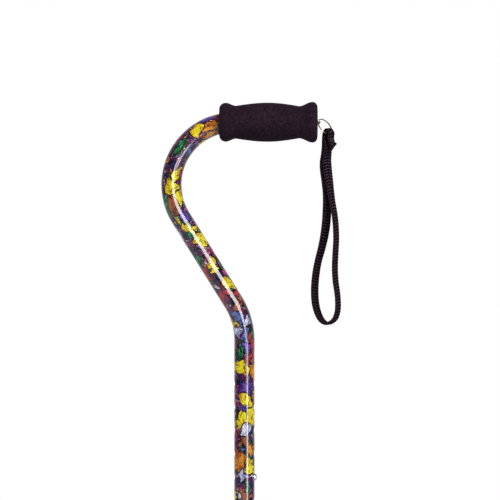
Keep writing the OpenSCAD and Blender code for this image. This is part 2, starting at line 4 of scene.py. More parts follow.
import bpy
from mathutils import Matrix, Quaternion, Vector
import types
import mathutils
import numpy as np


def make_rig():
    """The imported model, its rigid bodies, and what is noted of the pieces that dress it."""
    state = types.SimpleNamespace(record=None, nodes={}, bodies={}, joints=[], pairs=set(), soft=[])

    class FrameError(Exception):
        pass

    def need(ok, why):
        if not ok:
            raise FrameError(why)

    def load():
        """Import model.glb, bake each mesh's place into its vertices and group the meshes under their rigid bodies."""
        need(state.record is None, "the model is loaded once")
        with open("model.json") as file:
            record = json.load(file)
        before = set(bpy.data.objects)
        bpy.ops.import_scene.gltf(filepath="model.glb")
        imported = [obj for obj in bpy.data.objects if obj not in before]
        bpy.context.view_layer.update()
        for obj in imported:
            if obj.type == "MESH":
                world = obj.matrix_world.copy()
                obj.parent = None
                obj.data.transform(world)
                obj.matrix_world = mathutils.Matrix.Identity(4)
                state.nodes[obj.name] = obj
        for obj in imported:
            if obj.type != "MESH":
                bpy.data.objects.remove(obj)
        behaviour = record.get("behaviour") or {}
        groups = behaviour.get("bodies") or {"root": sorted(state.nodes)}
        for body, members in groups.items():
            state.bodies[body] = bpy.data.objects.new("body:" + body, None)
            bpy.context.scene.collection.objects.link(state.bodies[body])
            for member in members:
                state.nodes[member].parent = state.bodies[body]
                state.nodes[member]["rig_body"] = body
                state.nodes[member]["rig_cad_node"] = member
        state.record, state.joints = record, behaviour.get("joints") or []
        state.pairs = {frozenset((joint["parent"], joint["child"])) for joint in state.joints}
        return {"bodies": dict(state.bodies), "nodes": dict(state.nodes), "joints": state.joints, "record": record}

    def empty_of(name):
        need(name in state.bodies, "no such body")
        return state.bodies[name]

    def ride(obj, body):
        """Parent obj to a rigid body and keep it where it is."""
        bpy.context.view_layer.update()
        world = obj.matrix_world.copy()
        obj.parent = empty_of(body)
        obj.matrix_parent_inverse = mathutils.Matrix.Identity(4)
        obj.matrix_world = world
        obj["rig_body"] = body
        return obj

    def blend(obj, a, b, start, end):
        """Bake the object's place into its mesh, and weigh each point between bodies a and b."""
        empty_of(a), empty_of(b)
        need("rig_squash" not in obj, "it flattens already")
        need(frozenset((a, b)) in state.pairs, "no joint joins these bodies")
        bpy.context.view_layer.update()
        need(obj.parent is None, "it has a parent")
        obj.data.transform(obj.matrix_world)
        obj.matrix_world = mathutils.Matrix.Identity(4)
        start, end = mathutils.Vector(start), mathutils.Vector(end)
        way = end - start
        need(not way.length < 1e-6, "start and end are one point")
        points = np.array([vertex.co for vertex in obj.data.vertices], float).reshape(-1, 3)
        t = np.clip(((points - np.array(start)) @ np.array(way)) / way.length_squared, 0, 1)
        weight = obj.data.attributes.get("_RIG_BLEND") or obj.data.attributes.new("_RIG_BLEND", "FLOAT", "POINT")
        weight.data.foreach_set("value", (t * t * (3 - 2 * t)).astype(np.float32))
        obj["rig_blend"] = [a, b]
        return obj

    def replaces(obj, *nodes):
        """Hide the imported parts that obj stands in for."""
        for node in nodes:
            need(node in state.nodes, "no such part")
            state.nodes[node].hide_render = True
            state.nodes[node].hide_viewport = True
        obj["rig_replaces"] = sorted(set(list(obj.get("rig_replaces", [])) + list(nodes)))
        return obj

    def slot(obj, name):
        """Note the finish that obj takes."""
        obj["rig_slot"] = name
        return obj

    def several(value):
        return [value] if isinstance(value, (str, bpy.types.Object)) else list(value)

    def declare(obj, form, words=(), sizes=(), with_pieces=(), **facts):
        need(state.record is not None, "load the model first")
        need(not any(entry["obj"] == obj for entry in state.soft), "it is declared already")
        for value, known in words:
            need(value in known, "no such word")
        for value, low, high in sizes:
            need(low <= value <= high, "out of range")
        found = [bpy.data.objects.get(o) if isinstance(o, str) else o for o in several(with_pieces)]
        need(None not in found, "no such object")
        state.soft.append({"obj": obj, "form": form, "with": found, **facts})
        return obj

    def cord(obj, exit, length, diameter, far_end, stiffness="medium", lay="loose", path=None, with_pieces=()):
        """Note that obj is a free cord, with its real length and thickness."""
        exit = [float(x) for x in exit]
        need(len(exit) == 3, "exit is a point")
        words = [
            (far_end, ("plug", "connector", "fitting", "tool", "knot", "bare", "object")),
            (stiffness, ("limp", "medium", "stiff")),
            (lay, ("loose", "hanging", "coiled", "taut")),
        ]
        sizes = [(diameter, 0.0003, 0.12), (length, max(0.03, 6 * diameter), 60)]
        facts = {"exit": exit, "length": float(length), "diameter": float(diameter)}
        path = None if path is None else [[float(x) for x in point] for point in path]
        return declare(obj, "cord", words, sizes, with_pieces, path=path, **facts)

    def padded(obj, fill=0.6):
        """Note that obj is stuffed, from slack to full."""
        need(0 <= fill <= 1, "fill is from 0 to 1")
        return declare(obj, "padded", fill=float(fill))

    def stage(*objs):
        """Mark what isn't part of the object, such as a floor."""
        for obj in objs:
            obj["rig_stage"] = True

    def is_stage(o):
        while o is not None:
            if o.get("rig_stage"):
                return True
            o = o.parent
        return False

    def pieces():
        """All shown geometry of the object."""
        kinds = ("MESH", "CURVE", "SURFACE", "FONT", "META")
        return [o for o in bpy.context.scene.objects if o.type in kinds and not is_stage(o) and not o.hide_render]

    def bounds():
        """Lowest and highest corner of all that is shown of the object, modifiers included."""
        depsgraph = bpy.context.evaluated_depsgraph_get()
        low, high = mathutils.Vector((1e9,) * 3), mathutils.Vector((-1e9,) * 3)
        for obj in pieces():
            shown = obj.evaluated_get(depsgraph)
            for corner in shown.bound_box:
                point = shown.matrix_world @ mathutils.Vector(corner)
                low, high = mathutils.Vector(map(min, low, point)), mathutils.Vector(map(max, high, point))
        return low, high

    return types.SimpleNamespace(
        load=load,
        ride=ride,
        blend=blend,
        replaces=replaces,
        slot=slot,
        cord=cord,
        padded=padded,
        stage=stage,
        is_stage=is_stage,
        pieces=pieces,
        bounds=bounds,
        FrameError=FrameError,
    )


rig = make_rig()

mm = 0.001
sameSpot = 1e-6  # metres: points closer than this are one
alongX, alongY = (0, pi / 2, 0), (pi / 2, 0, 0)  # turns that lay an upright piece along x or y
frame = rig.load()
cadBox = [list(corner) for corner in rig.bounds()]
print("frame loaded:", len(frame["nodes"]), "nodes")


# helpers for modelling
def pickOnly(*pieces):
    bpy.ops.object.select_all(action="DESELECT")
    for piece in pieces:
        piece.select_set(True)
    bpy.context.view_layer.objects.active = pieces[0]


def named(name):
    piece = bpy.context.object
    piece.name = name
    piece.data.name = name
    return piece


def erase(piece):
    pickOnly(piece)
    bpy.ops.object.delete()


def settle(piece):  # puts the piece's place and turn into its mesh
    pickOnly(piece)
    bpy.ops.object.transform_apply(location=True, rotation=True, scale=True)


def smooth(piece, degrees=38):
    pickOnly(piece)
    bpy.ops.object.shade_smooth_by_angle(angle=radians(degrees))
    return piece


def addModifier(piece, kind, **settings):
    pickOnly(piece)
    modifier = piece.modifiers.new(kind.title(), kind)
    for key, value in settings.items():
        setattr(modifier, key, value)
    bpy.ops.object.modifier_apply(modifier=modifier.name)


def bevelEdges(piece, width, segments, degrees):  # edges sharper than that angle
    addModifier(piece, "BEVEL", width=width * mm, segments=segments, limit_method="ANGLE",
                angle_limit=radians(degrees))


def editAll(piece):  # edit mode with every point picked
    pickOnly(piece)
    bpy.ops.object.mode_set(mode="EDIT")
    bpy.ops.mesh.select_mode(type="VERT")
    bpy.ops.mesh.select_all(action="SELECT")


def closeMesh(fillEnds=False):  # merges doubles, turns the faces outwards and leaves edit mode
    bpy.ops.mesh.select_all(action="SELECT")
    bpy.ops.mesh.remove_doubles(threshold=sameSpot)
    if fillEnds:
        bpy.ops.mesh.fill_holes(sides=0)
        bpy.ops.mesh.select_all(action="SELECT")
    bpy.ops.mesh.normals_make_consistent(inside=False)
    bpy.ops.object.mode_set(mode="OBJECT")


def drawAlong(line):  # moves what is picked to the line's start and extrudes it along; x and z in mm
    bpy.ops.transform.translate(value=(line[0][0] * mm, 0, line[0][1] * mm))
    for (x, z), (nextX, nextZ) in zip(line, line[1:]):
        step = ((nextX - x) * mm, 0, (nextZ - z) * mm)
        bpy.ops.mesh.extrude_region_move(TRANSFORM_OT_translate={"value": step})


def spinOutline(name, outline, steps=96, where=(0, 0, 0), turn=(0, 0, 0)):  # outline: radius, height in mm
    bpy.ops.mesh.primitive_plane_add(size=mm)
    piece = named(name)
    editAll(piece)
    bpy.ops.mesh.merge(type="CENTER")
    drawAlong(outline)
    bpy.ops.mesh.select_all(action="SELECT")
    bpy.ops.mesh.spin(steps=steps, angle=2 * pi, center=(0, 0, 0), axis=(0, 0, 1))
    closeMesh()
    return place(piece, where, turn)


def startRound(name, where, heading, radius, sides):  # an open circle in edit mode, across its heading
    facing = heading.to_track_quat("Z", "X").to_euler()
    bpy.ops.mesh.primitive_circle_add(vertices=sides, radius=radius * mm, location=where, rotation=facing)
    piece = named(name)
    settle(piece)
    editAll(piece)
    return piece


def bendTube(name, line, bends, radius, wall=0, sides=64, steps=40):  # line in mm, a bend for each corner
    leastTurn = 1e-4
    line = [Vector(p) * mm for p in line]
    headings = [(b - a).normalized() for a, b in zip(line, line[1:])]
    turns = [0] + [a.angle(b) for a, b in zip(headings, headings[1:])] + [0]
    setback = [bend * mm * tan(turn / 2) for bend, turn in zip(bends, turns)]
    piece = startRound(name, line[0], headings[0], radius, sides)
    for i, heading in enumerate(headings):
        run = (line[i + 1] - line[i]).length - setback[i] - setback[i + 1]
        bpy.ops.mesh.extrude_region_move(TRANSFORM_OT_translate={"value": heading * run})
        if turns[i + 1] > leastTurn:
            after = headings[i + 1]
            inward = (after - heading * heading.dot(after)).normalized()
            middle = line[i + 1] - heading * setback[i + 1] + inward * bends[i + 1] * mm
            bpy.ops.mesh.spin(steps=steps, angle=turns[i + 1], center=middle, axis=after.cross(heading))
    closeMesh(fillEnds=not wall)
    if wall:
        addModifier(piece, "SOLIDIFY", thickness=wall * mm, offset=-1)
    return piece


def bentWire(name, middle, start, axis, radius, wire, gap=0, steps=72, sides=20):  # a ring, gap in degrees
    middle, first, axis = Vector(middle), Vector(start).normalized(), Vector(axis).normalized()
    first.rotate(Quaternion(axis, radians(gap / 2)))
    piece = startRound(name, (middle + radius * first) * mm, axis.cross(first), wire / 2, sides)
    bpy.ops.mesh.spin(steps=steps, angle=radians(360 - gap), center=middle * mm, axis=-axis)
    closeMesh(fillEnds=True)
    return smooth(piece, 50)


def cutBy(piece, tool, operation="DIFFERENCE"):
    addModifier(piece, "BOOLEAN", object=tool, operation=operation, solver="EXACT")
    editAll(piece)
    bpy.ops.mesh.remove_doubles(threshold=4 * sameSpot)  # slivers along the cut
    bpy.ops.object.mode_set(mode="OBJECT")
    erase(tool)


def drillHole(piece, where, turn, radius, depth):
    bpy.ops.mesh.primitive_cylinder_add(
        vertices=40, radius=radius * mm, depth=depth * mm, location=[c * mm for c in where], rotation=turn)
    cutBy(piece, named("drill"))


def place(piece, where, turn=(0, 0, 0)):  # where in mm
    piece.location = [c * mm for c in where]
    piece.rotation_euler = turn
    settle(piece)
    return piece


def copyOf(piece, name):
    pickOnly(piece)
    bpy.ops.object.duplicate()
    return named(name)


def joined(name, *pieces):
    pickOnly(*pieces)
    bpy.ops.object.join()
    return named(name)


def quarterTurn(count):  # the angles of a rounded edge
    return [radians(90 * k / count) for k in range(count + 1)]


def within(share):
    return min(1, max(0, share))


# helpers for finishes
class Feed:  # an output socket of a finish; sums on it add Math nodes
    def __init__(self, tree, socket=None):
        self.tree = tree
        self.socket = socket

    def node(self, kind, inputs=(), output=0, **settings):
        made = self.tree.nodes.new("ShaderNode" + kind)
        for key, value in settings.items():
            setattr(made, key, value)
        for key, value in dict(inputs).items():
            if isinstance(value, Feed):
                self.tree.links.new(value.socket, made.inputs[key])
            else:
                made.inputs[key].default_value = value
        return Feed(self.tree, made.outputs[output])

    def maths(self, operation, *values):
        return self.node("Math", dict(enumerate(values)), operation=operation)

    def __add__(self, other):
        return self.maths("ADD", self, other)

    def __sub__(self, other):
        return self.maths("SUBTRACT", self, other)

    def __rsub__(self, other):
        return self.maths("SUBTRACT", other, self)

    def __mul__(self, other):
        return self.maths("MULTIPLY", self, other)

    def __mod__(self, other):
        return self.maths("FLOORED_MODULO", self, other)

    def __lt__(self, other):
        return self.maths("LESS_THAN", self, other)

    __radd__, __rmul__ = __add__, __mul__

    def fade(self, low, high):  # 0 below low, 1 above high, smooth between
        inputs = {"Value": self, "From Min": low, "From Max": high}
        return self.node("MapRange", inputs, interpolation_type="SMOOTHSTEP")

    def ramp(self, stops, blend="LINEAR"):  # a colour for each value
        made = self.node("ValToRGB", {0: self})
        band = made.socket.node.color_ramp
        band.interpolation = blend
        while len(band.elements) < len(stops):
            band.elements.new(1)
        for element, (position, colour) in zip(band.elements, stops):
            element.position = position
            element.color = (*colour, 1)
        return made

    def mix(self, below, above):  # this value is the share of the colour above
        return self.node("Mix", {0: self, 6: below, 7: above}, 2, data_type="RGBA")

    def bump(self, strength, distance):  # distance in mm
        return self.node("Bump", {"Height": self, "Strength": strength, "Distance": distance * mm})

    def parts(self):
        outputs = self.node("SeparateXYZ", {0: self}).socket.node.outputs
        return [Feed(self.tree, outputs[i]) for i in range(3)]

    def moved(self, scale=(1, 1, 1), turn=(0, 0, 0), shift=(0, 0, 0)):
        return self.node("Mapping", {"Vector": self, "Scale": scale, "Rotation": turn, "Location": shift})

    def noise(self, scale, detail=2, rough=0.5, output=0):
        inputs = {"Vector": self, "Scale": scale, "Detail": detail, "Roughness": rough}
        return self.node("TexNoise", inputs, output)

    def cells(self, scale=1.0, output="Color", feature="F1"):
        return self.node("TexVoronoi", {"Vector": self, "Scale": scale}, output, feature=feature)

    def objectPlace(self):
        return self.node("TexCoord", output="Object")

    def rays(self):  # camera, glossy and transmission rays
        outputs = self.node("LightPath").socket.node.outputs
        return [Feed(self.tree, outputs[f"Is {kind} Ray"]) for kind in ("Camera", "Glossy", "Transmission")]


def newFinish(name, **fixed):
    material = bpy.data.materials.new(name)
    material.use_nodes = True
    tree = material.node_tree
    shader = tree.nodes["Principled BSDF"]
    for key, value in fixed.items():
        socket = shader.inputs[key.replace("_", " ")]
        socket.default_value = (*value, 1) if isinstance(value, tuple) else value

    def join(**links):
        for key, value in links.items():
            tree.links.new(value.socket, shader.inputs[key.replace("_", " ")])
        return material

    return Feed(tree), join


def placedFinish(name, **fixed):  # laid out by the piece's own place
    feed, join = newFinish(name, **fixed)
    return feed.objectPlace(), join


def dress(piece, *materials):
    piece.data.materials.clear()
    for material in materials:
        piece.data.materials.append(material)


def add(piece, body, slot, *nodes):
    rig.ride(piece, body)
    if nodes:
        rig.replaces(piece, *nodes)
    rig.slot(piece, slot)
    return piece


# camera
view = {"aim": (6.1, -25, 677), "away": 2500, "frame": 544, "sensor": 36, "clipEnd": 50}

aimX, aimY, aimZ = view["aim"]
bpy.ops.object.camera_add(location=(aimX * mm, (aimY - view["away"]) * mm, aimZ * mm), rotation=alongY)
camera = bpy.context.object
camera.data.sensor_width = view["sensor"]
camera.data.lens = view["sensor"] * view["away"] / view["frame"]
camera.data.clip_end = view["clipEnd"]
bpy.context.scene.camera = camera
print("camera set, lens", round(camera.data.lens, 1))


# wrist strap: a flat braid folded over the ring
strap = {
    "ringLow": (91.799, -23.828, 803.226), "ringSide": (0.66412, 0.74762, 0),  # where it hangs on the ring
    "width": 11.5, "thick": 3.2, "edge": 0.75, "bunch": 0.9,
    "yaw": 55, "twist": 0.45, "turn": 30,
    "front": 20, "frontSide": (5, 6), "frontDown": (140, 40),  # turned forward: by, from and over
    "pitch": 3.3, "columns": 2, "slant": 0.3, "crown": 0.6, "ribPower": 0.7, "ribFloor": 0.25, "belly": 0.12,
    "dome": 0.9, "domeDown": (3, 5), "domeFall": 1.2, "domeEdge": 0.2, "edgeSwell": 0.18,
    "cut": 0.9, "cutRun": 9.0, "seal": 0.45, "sealRun": 1.6,
    "spacing": 0.45, "perColumn": 12, "edgeSteps": 4, "pathStep": 4,
}
strapRoute = [
    (6.6, -15.4), (6.4, -12.4), (4.6, -9.6), (3.3, -7.3), (2.9, -5.2), (3.1, -2.6), (3.6, 0.4), (2.8, 2.9),
    (0.8, 4.2), (-1.6, 4.2), (-3.4, 2.9), (-4.2, 0.6), (-4.6, -3), (-4.6, -9), (-4.6, -15), (-5.2, -22),
    (-6.3, -29), (-6.5, -36), (-5.5, -43.6), (-4.3, -50), (-3.3, -57), (-2.4, -64), (-2.1, -73),
    (-2.5, -83), (-3.2, -93), (-4.4, -102), (-6.8, -113.4), (-10.7, -126.4), (-14.1, -136), (-16.9, -146),
    (-19, -158), (-19.9, -169), (-19.6, -179), (-18, -188), (-14.9, -196), (-10.2, -202.6), (-3.6, -206.2),
    (3, -205), (8.8, -201), (12, -194.5), (13.1, -187), (12.7, -178), (11.5, -170), (9.8, -161),
    (8.8, -150), (8.9, -139), (9.7, -127), (10.5, -114), (10, -101), (8.8, -91), (7, -82), (4.8, -73),
    (2.4, -62), (0.3, -50), (-0.9, -43.6), (-1.9, -36), (-2.6, -29), (-1.8, -22), (-1.1, -15), (-1, -7),
]


def strapPlace(h, z):  # h across the view and z up, in mm from the ring's lowest point
    side = strap["ringSide"]
    return Vector(strap["ringLow"]) + Vector((h * side[1], -h * side[0], z))


def strapAcross(h, z):  # the way of the width, and the share of it left where the braid bunches on the ring
    free = within(-z / strap["turn"])
    (sideFrom, sideRun), (downFrom, downRun) = strap["frontSide"], strap["frontDown"]
    front = strap["front"] * within((sideFrom - h) / sideRun) * within((z + downFrom) / downRun)
    angle = radians(strap["yaw"] + strap["twist"] * h - front)
    own = Vector((cos(angle), sin(angle), 0))
    way = (Vector(strap["ringSide"]) * (1 - free) + own * free).normalized()
    return way, strap["bunch"] + (1 - strap["bunch"]) * free


def easedRoute(points, spacing):  # a smooth line through the points, at even steps
    fineStep, fewest, tiny = 0.25, 4, 1e-9
    fine = []
    ends = [points[0]] + list(points) + [points[-1]]
    for a, b, c, d in zip(ends, ends[1:], ends[2:], ends[3:]):
        count = max(fewest, int(dist(b, c) / fineStep))
        for k in range(count):
            t = k / count
            fine.append(tuple(
                0.5 * (2 * b[i] + (c[i] - a[i]) * t + (2 * a[i] - 5 * b[i] + 4 * c[i] - d[i]) * t**2
                       + (3 * b[i] - a[i] - 3 * c[i] + d[i]) * t**3)
                for i in range(2)
            ))
    fine.append(points[-1])
    run = [0]
    for p, q in zip(fine, fine[1:]):
        run.append(run[-1] + dist(p, q))
    count = round(run[-1] / spacing)
    even, j = [], 0
    for k in range(count + 1):
        want = run[-1] * k / count
        while j < len(run) - 2 and run[j + 1] < want:
            j += 1
        share = (want - run[j]) / max(run[j + 1] - run[j], tiny)
        even.append(tuple(fine[j][i] + (fine[j + 1][i] - fine[j][i]) * share for i in range(2)))
    return even, run[-1]


def braidHeight(along, across):  # along in mm, across from 0 to the number of columns
    column = min(strap["columns"] - 1, int(across))
    w = 2 * (across - column) - 1
    lean = 1 if column % 2 else -1
    phase = along / strap["pitch"] + lean * w * strap["slant"]
    rib = (0.5 + 0.5 * cos(2 * pi * phase)) ** strap["ribPower"]
    return rib * (strap["ribFloor"] + (1 - strap["ribFloor"]) * (1 - w**4)) + strap["belly"] * (1 - w * w)


def makeStrap():
    route, length = easedRoute(strapRoute, strap["spacing"])
    centres = [strapPlace(h, z) for h, z in route]
    deep, crown, pitch, columns = strap["thick"] / 2, strap["crown"], strap["pitch"], strap["columns"]
    faceSteps, edgeSteps = strap["perColumn"] * columns, strap["edgeSteps"]
    domeFrom, domeRun = strap["domeDown"]
    edgeMark = columns + 0.5
    verts, marks, frames = [], [], []
    last = len(route) - 1
    for i, (h, z) in enumerate(route):
        along = (centres[min(i + 1, last)] - centres[max(i - 1, 0)]).normalized()
        across, share = strapAcross(h, z)
        flat = strap["width"] * share / 2 - strap["edge"]
        dome = strap["dome"] * within((z + domeFrom) / domeRun)  # the middle rides up over the ring
        through = along.cross(across).normalized()
        frames.append((centres[i], along, through))
        s = length * i / last
        across = across + along * strap["cut"] * max(0, 1 - s / strap["cutRun"])  # a slanted tail
        seal = min(1, min(s, length - s) / strap["sealRun"] + strap["seal"])  # the cut ends are melted flat
        for side in (1, -1):
            shift = 0 if side > 0 else 0.5  # the back's ribs lie between those of the front
            for k in range(faceSteps + 1):
                v = columns * k / faceSteps
                x = side * flat * (1 - 2 * k / faceSteps)
                lift = deep - crown + crown * braidHeight(s + shift * pitch, v)
                rise = dome * (1 - strap["domeFall"] * (x / flat) ** 2)
                verts.append(centres[i] + across * x + through * (side * lift * seal - rise))
                marks.append((s / pitch + shift, v))
            for k in range(1, edgeSteps):
                a = pi * k / edgeSteps
                wave = strap["edgeSwell"] * (cos(2 * pi * s / pitch) - 1)
                x = -side * (flat + strap["edge"] * (1 + wave) * sin(a))
                lift = side * (deep - crown) * cos(a)
                verts.append(centres[i] + across * x + through * (lift * seal + strap["domeEdge"] * dome))
                marks.append((s / pitch, edgeMark))
    around = 2 * (faceSteps + edgeSteps)
    faces = []
    for i in range(last):
        for k in range(around):
            a, b = i * around + k, i * around + (k + 1) % around
            faces.append((a, a + around, b + around, b))
    for start, turned in ((0, False), (last * around, True)):  # the end caps, in strips across
        for k in range(around // 2 - 1):
            quad = [start + n % around for n in (k, k + 1, around - 2 - k, around - 1 - k)]
            faces.append(tuple(reversed(quad)) if turned else tuple(quad))
    mesh = bpy.data.meshes.new("wristStrap")
    mesh.from_pydata([v * mm for v in verts], [], faces)
    uv = mesh.uv_layers.new(name="braid")
    for face in mesh.polygons:  # the thin edges and the cut ends carry no pattern
        bare = face.index >= last * around or face.index % around % (faceSteps + edgeSteps) >= faceSteps
        for n in face.loop_indices:
            u, v = marks[mesh.loops[n].vertex_index]
            uv.data[n].uv = (u, edgeMark if bare else v)
    piece = bpy.data.objects.new("wristStrap", mesh)
    bpy.context.scene.collection.objects.link(piece)
    editAll(piece)
    closeMesh()
    bpy.ops.object.shade_smooth()
    path = [c * mm for c in centres[:-2:strap["pathStep"]]] + [centres[-1] * mm]
    return piece, path, length * mm, frames


wristStrap, strapPath, strapLength, strapFrames = makeStrap()
add(wristStrap, "wrist_loop", "strap", "wrist_strap")

stitch = {
    "thread": 0.6, "bend": 2.2, "turn": 76, "count": 9, "spacing": 0.85, "sunk": 0.1, "rows": (9.2, 37.8),
}


def strapSeam():  # a bar tack on the tail's outer side and one on the leg behind it
    depth = stitch["bend"] * cos(radians(stitch["turn"] / 2)) + stitch["sunk"]
    first = bentWire("stitch", (0, 0, -depth), (0, 0, -1), (0, 1, 0), stitch["bend"], stitch["thread"],
                     360 - stitch["turn"], steps=6, sides=8)
    made = []
    for row in stitch["rows"]:
        middle, along, through = strapFrames[round(row / (strapLength / mm) * (len(strapFrames) - 1))]
        level = along.cross(through)
        facing = Matrix((along, level, -through)).transposed().to_euler()
        for k in range(stitch["count"]):
            aside = level * (k - (stitch["count"] - 1) / 2) * stitch["spacing"]
            where = middle + aside - through * strap["thick"] / 2
            made.append(place(copyOf(first, "stitch"), where, facing))
    erase(first)
    return joined("strapSeam", *made)


seam = add(strapSeam(), "wrist_loop", "strap")
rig.cord(
    wristStrap,
    exit=strapPath[0],
    length=strapLength,
    diameter=strap["width"] * mm,
    far_end="object",
    stiffness="limp",
    lay="hanging",
    path=strapPath,
    with_pieces=[seam],
)
print("wrist strap:", round(strapLength / mm), "mm of braid,", len(wristStrap.data.polygons), "faces")


# handle tube, bent at the neck and the heel, with its height holes
tube = {
    "outside": 22.2, "wall": 1.2, "tip": 73.4, "gripZ": 816, "endZ": 273, "y": -25,
    "neckBend": 68, "heelBend": 80, "neckBack": 11.4, "lean": 32, "bareDeep": 0.3,
    "holes": 10, "holePitch": 25.4, "holeSize": 8.2, "lowestHole": 303, "holeBand": 6, "drill": 32,
}
axisY, gripZ, tubeRadius, lean = tube["y"], tube["gripZ"], tube["outside"] / 2, radians(tube["lean"])
leanDown, leanOut = Vector((sin(lean), 0, -cos(lean))), Vector((cos(lean), 0, sin(lean)))
neckMid = Vector((-tube["neckBack"], axisY, gripZ - tube["neckBend"]))
neckEnd = neckMid - tube["neckBend"] * leanOut
heelCorner = Vector((0, axisY, neckEnd.z + neckEnd.x / tan(lean)))
neckCorner = Vector((neckEnd.x - (gripZ - neckEnd.z) * tan(lean), axisY, gripZ))
heelBack = tube["heelBend"] * tan(lean / 2)
heelMid = Vector((-tube["heelBend"], axisY, heelCorner.z - heelBack))
holesZ = [tube["lowestHole"] + i * tube["holePitch"] for i in range(tube["holes"])]
bandsZ = [z + side * tube["holeBand"] for z in reversed(holesZ) for side in (1, -1)]  # around each hole
tubeLine = [(tube["tip"], axisY, gripZ), neckCorner, heelCorner]
tubeLine += [(0, axisY, z) for z in bandsZ + [tube["endZ"]]]
tubeBends = [0, tube["neckBend"], tube["heelBend"]] + [0] * (len(bandsZ) + 1)


def unbent(p):  # a point on the tube in mm, as if the tube were straight: across, across, along
    side = p.y - axisY
    neckFrom = tube["tip"] + tube["neckBack"]
    leanFrom = neckFrom + tube["neckBend"] * (pi / 2 + lean)
    leanRun = (heelCorner - neckEnd).length - heelBack
    heelFrom = leanFrom + leanRun
    if p.z < heelMid.z:
        return -p.x, side, heelFrom + tube["heelBend"] * lean + heelMid.z - p.z
    if p.x > neckMid.x and p.z > neckMid.z:
        return p.z - gripZ, side, tube["tip"] - p.x
    past = (p - neckEnd).dot(leanDown)
    if past < 0:
        away = p - neckMid
        turned = atan2(-away.x, away.z) % (2 * pi)
        return hypot(away.x, away.z) - tube["neckBend"], side, neckFrom + tube["neckBend"] * turned
    if past < leanRun:
        return -(p - neckEnd).dot(leanOut), side, leanFrom + past
    away = p - heelMid
    turned = lean - atan2(away.z, away.x)
    return tube["heelBend"] - hypot(away.x, away.z), side, heelFrom + tube["heelBend"] * turned


handleTube = bendTube("handleTube", tubeLine, tubeBends, tubeRadius, tube["wall"], sides=72, steps=44)
for z in holesZ:
    drillHole(handleTube, (0, axisY, z), alongX, tube["holeSize"] / 2, tube["drill"])
straightened = handleTube.data.attributes.new("unbent", "FLOAT_VECTOR", "POINT")
for vertex in handleTube.data.vertices:
    straightened.data[vertex.index].vector = unbent(vertex.co / mm)
for face in handleTube.data.polygons:  # the bore and the hole walls are bare metal
    around = unbent(face.center / mm)
    face.material_index = 1 if hypot(around[0], around[1]) < tubeRadius - tube["bareDeep"] else 0
add(smooth(handleTube), "handle", "printed_tube", "handle_tube")
print("handle tube:", len(handleTube.data.polygons), "faces")


# foam grip
grip = {
    "length": 106.8, "reach": 79.4, "swell": 42.5, "bore": 22.1, "boreStep": 2.5, "boreSlack": 0.05,
    "rear": {"flange": 42.3, "crest": 7, "waist": 35.8, "waistAt": 18.4},
    "front": {"flange": 44.2, "crest": 5.4, "waist": 35, "waistAt": 19.9},
    "mouth": ((1.2, 0), (0.4, 0.3), (0, 1.1)),  # proud of the bore, below the front end
    "crestSteps": 9, "waistSteps": 12, "swellSteps": 24,
}


def gripHalf(half, middle):  # radius and distance from that end, up to the swell in the middle
    flange, waist, swell = half["flange"] / 2, half["waist"] / 2, grip["swell"] / 2
    crest, waistAt = half["crest"], half["waistAt"]
    points = [(flange - crest * (1 - sin(a)), crest * (1 - cos(a)))
              for a in quarterTurn(grip["crestSteps"])]
    for k in range(1, grip["waistSteps"]):
        t = k / grip["waistSteps"]
        points.append((flange + (waist - flange) * (1 - cos(pi * t)) / 2, crest + (waistAt - crest) * t))
    for k in range(grip["swellSteps"] + 1):
        t = k / grip["swellSteps"]
        points.append((waist + (swell - waist) * sin(pi / 2 * t), waistAt + (middle - waistAt) * t))
    return points


def gripOutline():
    length, bore = grip["length"], grip["bore"] / 2
    middle = (grip["rear"]["waistAt"] + length - grip["front"]["waistAt"]) / 2
    points = [(bore, 0)] + gripHalf(grip["rear"], middle)
    points += [(r, length - z) for r, z in reversed(gripHalf(grip["front"], length - middle)[:-1])]
    points += [(bore + proud, length - down) for proud, down in grip["mouth"]]
    rings = int(length / grip["boreStep"])
    return points + [(bore, k * grip["boreStep"]) for k in reversed(range(rings))]


gripFrom = grip["reach"] - grip["length"]
foamGrip = spinOutline("foamGrip", gripOutline(), 112, (gripFrom, axisY, gripZ), alongX)
for vertex in foamGrip.data.vertices:  # the bore follows the tube into its neck bend
    x, y, z = vertex.co / mm
    up, behind = z - gripZ, -tube["neckBack"] - x
    if behind > 0 and hypot(y - axisY, up) < grip["bore"] / 2 + grip["boreSlack"]:
        bent = sqrt((tube["neckBend"] + up) ** 2 - behind**2) - tube["neckBend"]
        vertex.co.z = (bent + gripZ) * mm
add(smooth(foamGrip, 60), "handle", "foam", "foam_grip")
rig.padded(foamGrip, fill=1)
print("foam grip:", len(foamGrip.data.polygons), "faces")


# end plug, screw eye and wire ring
plug = {
    "from": 59.4, "top": 15.6,
    "outline": (  # radius, along
        (0, 0), (8.7, 0), (9.8, 1.2), (9.8, 14), (11, 14), (11.1, 14.2), (11.1, 15), (10.9, 15.4),
        (10.4, 15.6), (7.2, 15.6), (6.9, 15.25), (5.2, 15.25), (4.9, 15.6), (2.4, 15.6), (1.9, 15.5),
        (0, 15.5),
    ),
}
endPlug = spinOutline("endPlug", plug["outline"], 80, (plug["from"], axisY, gripZ), alongX)
add(smooth(endPlug), "handle", "black_plastic", "end_plug")

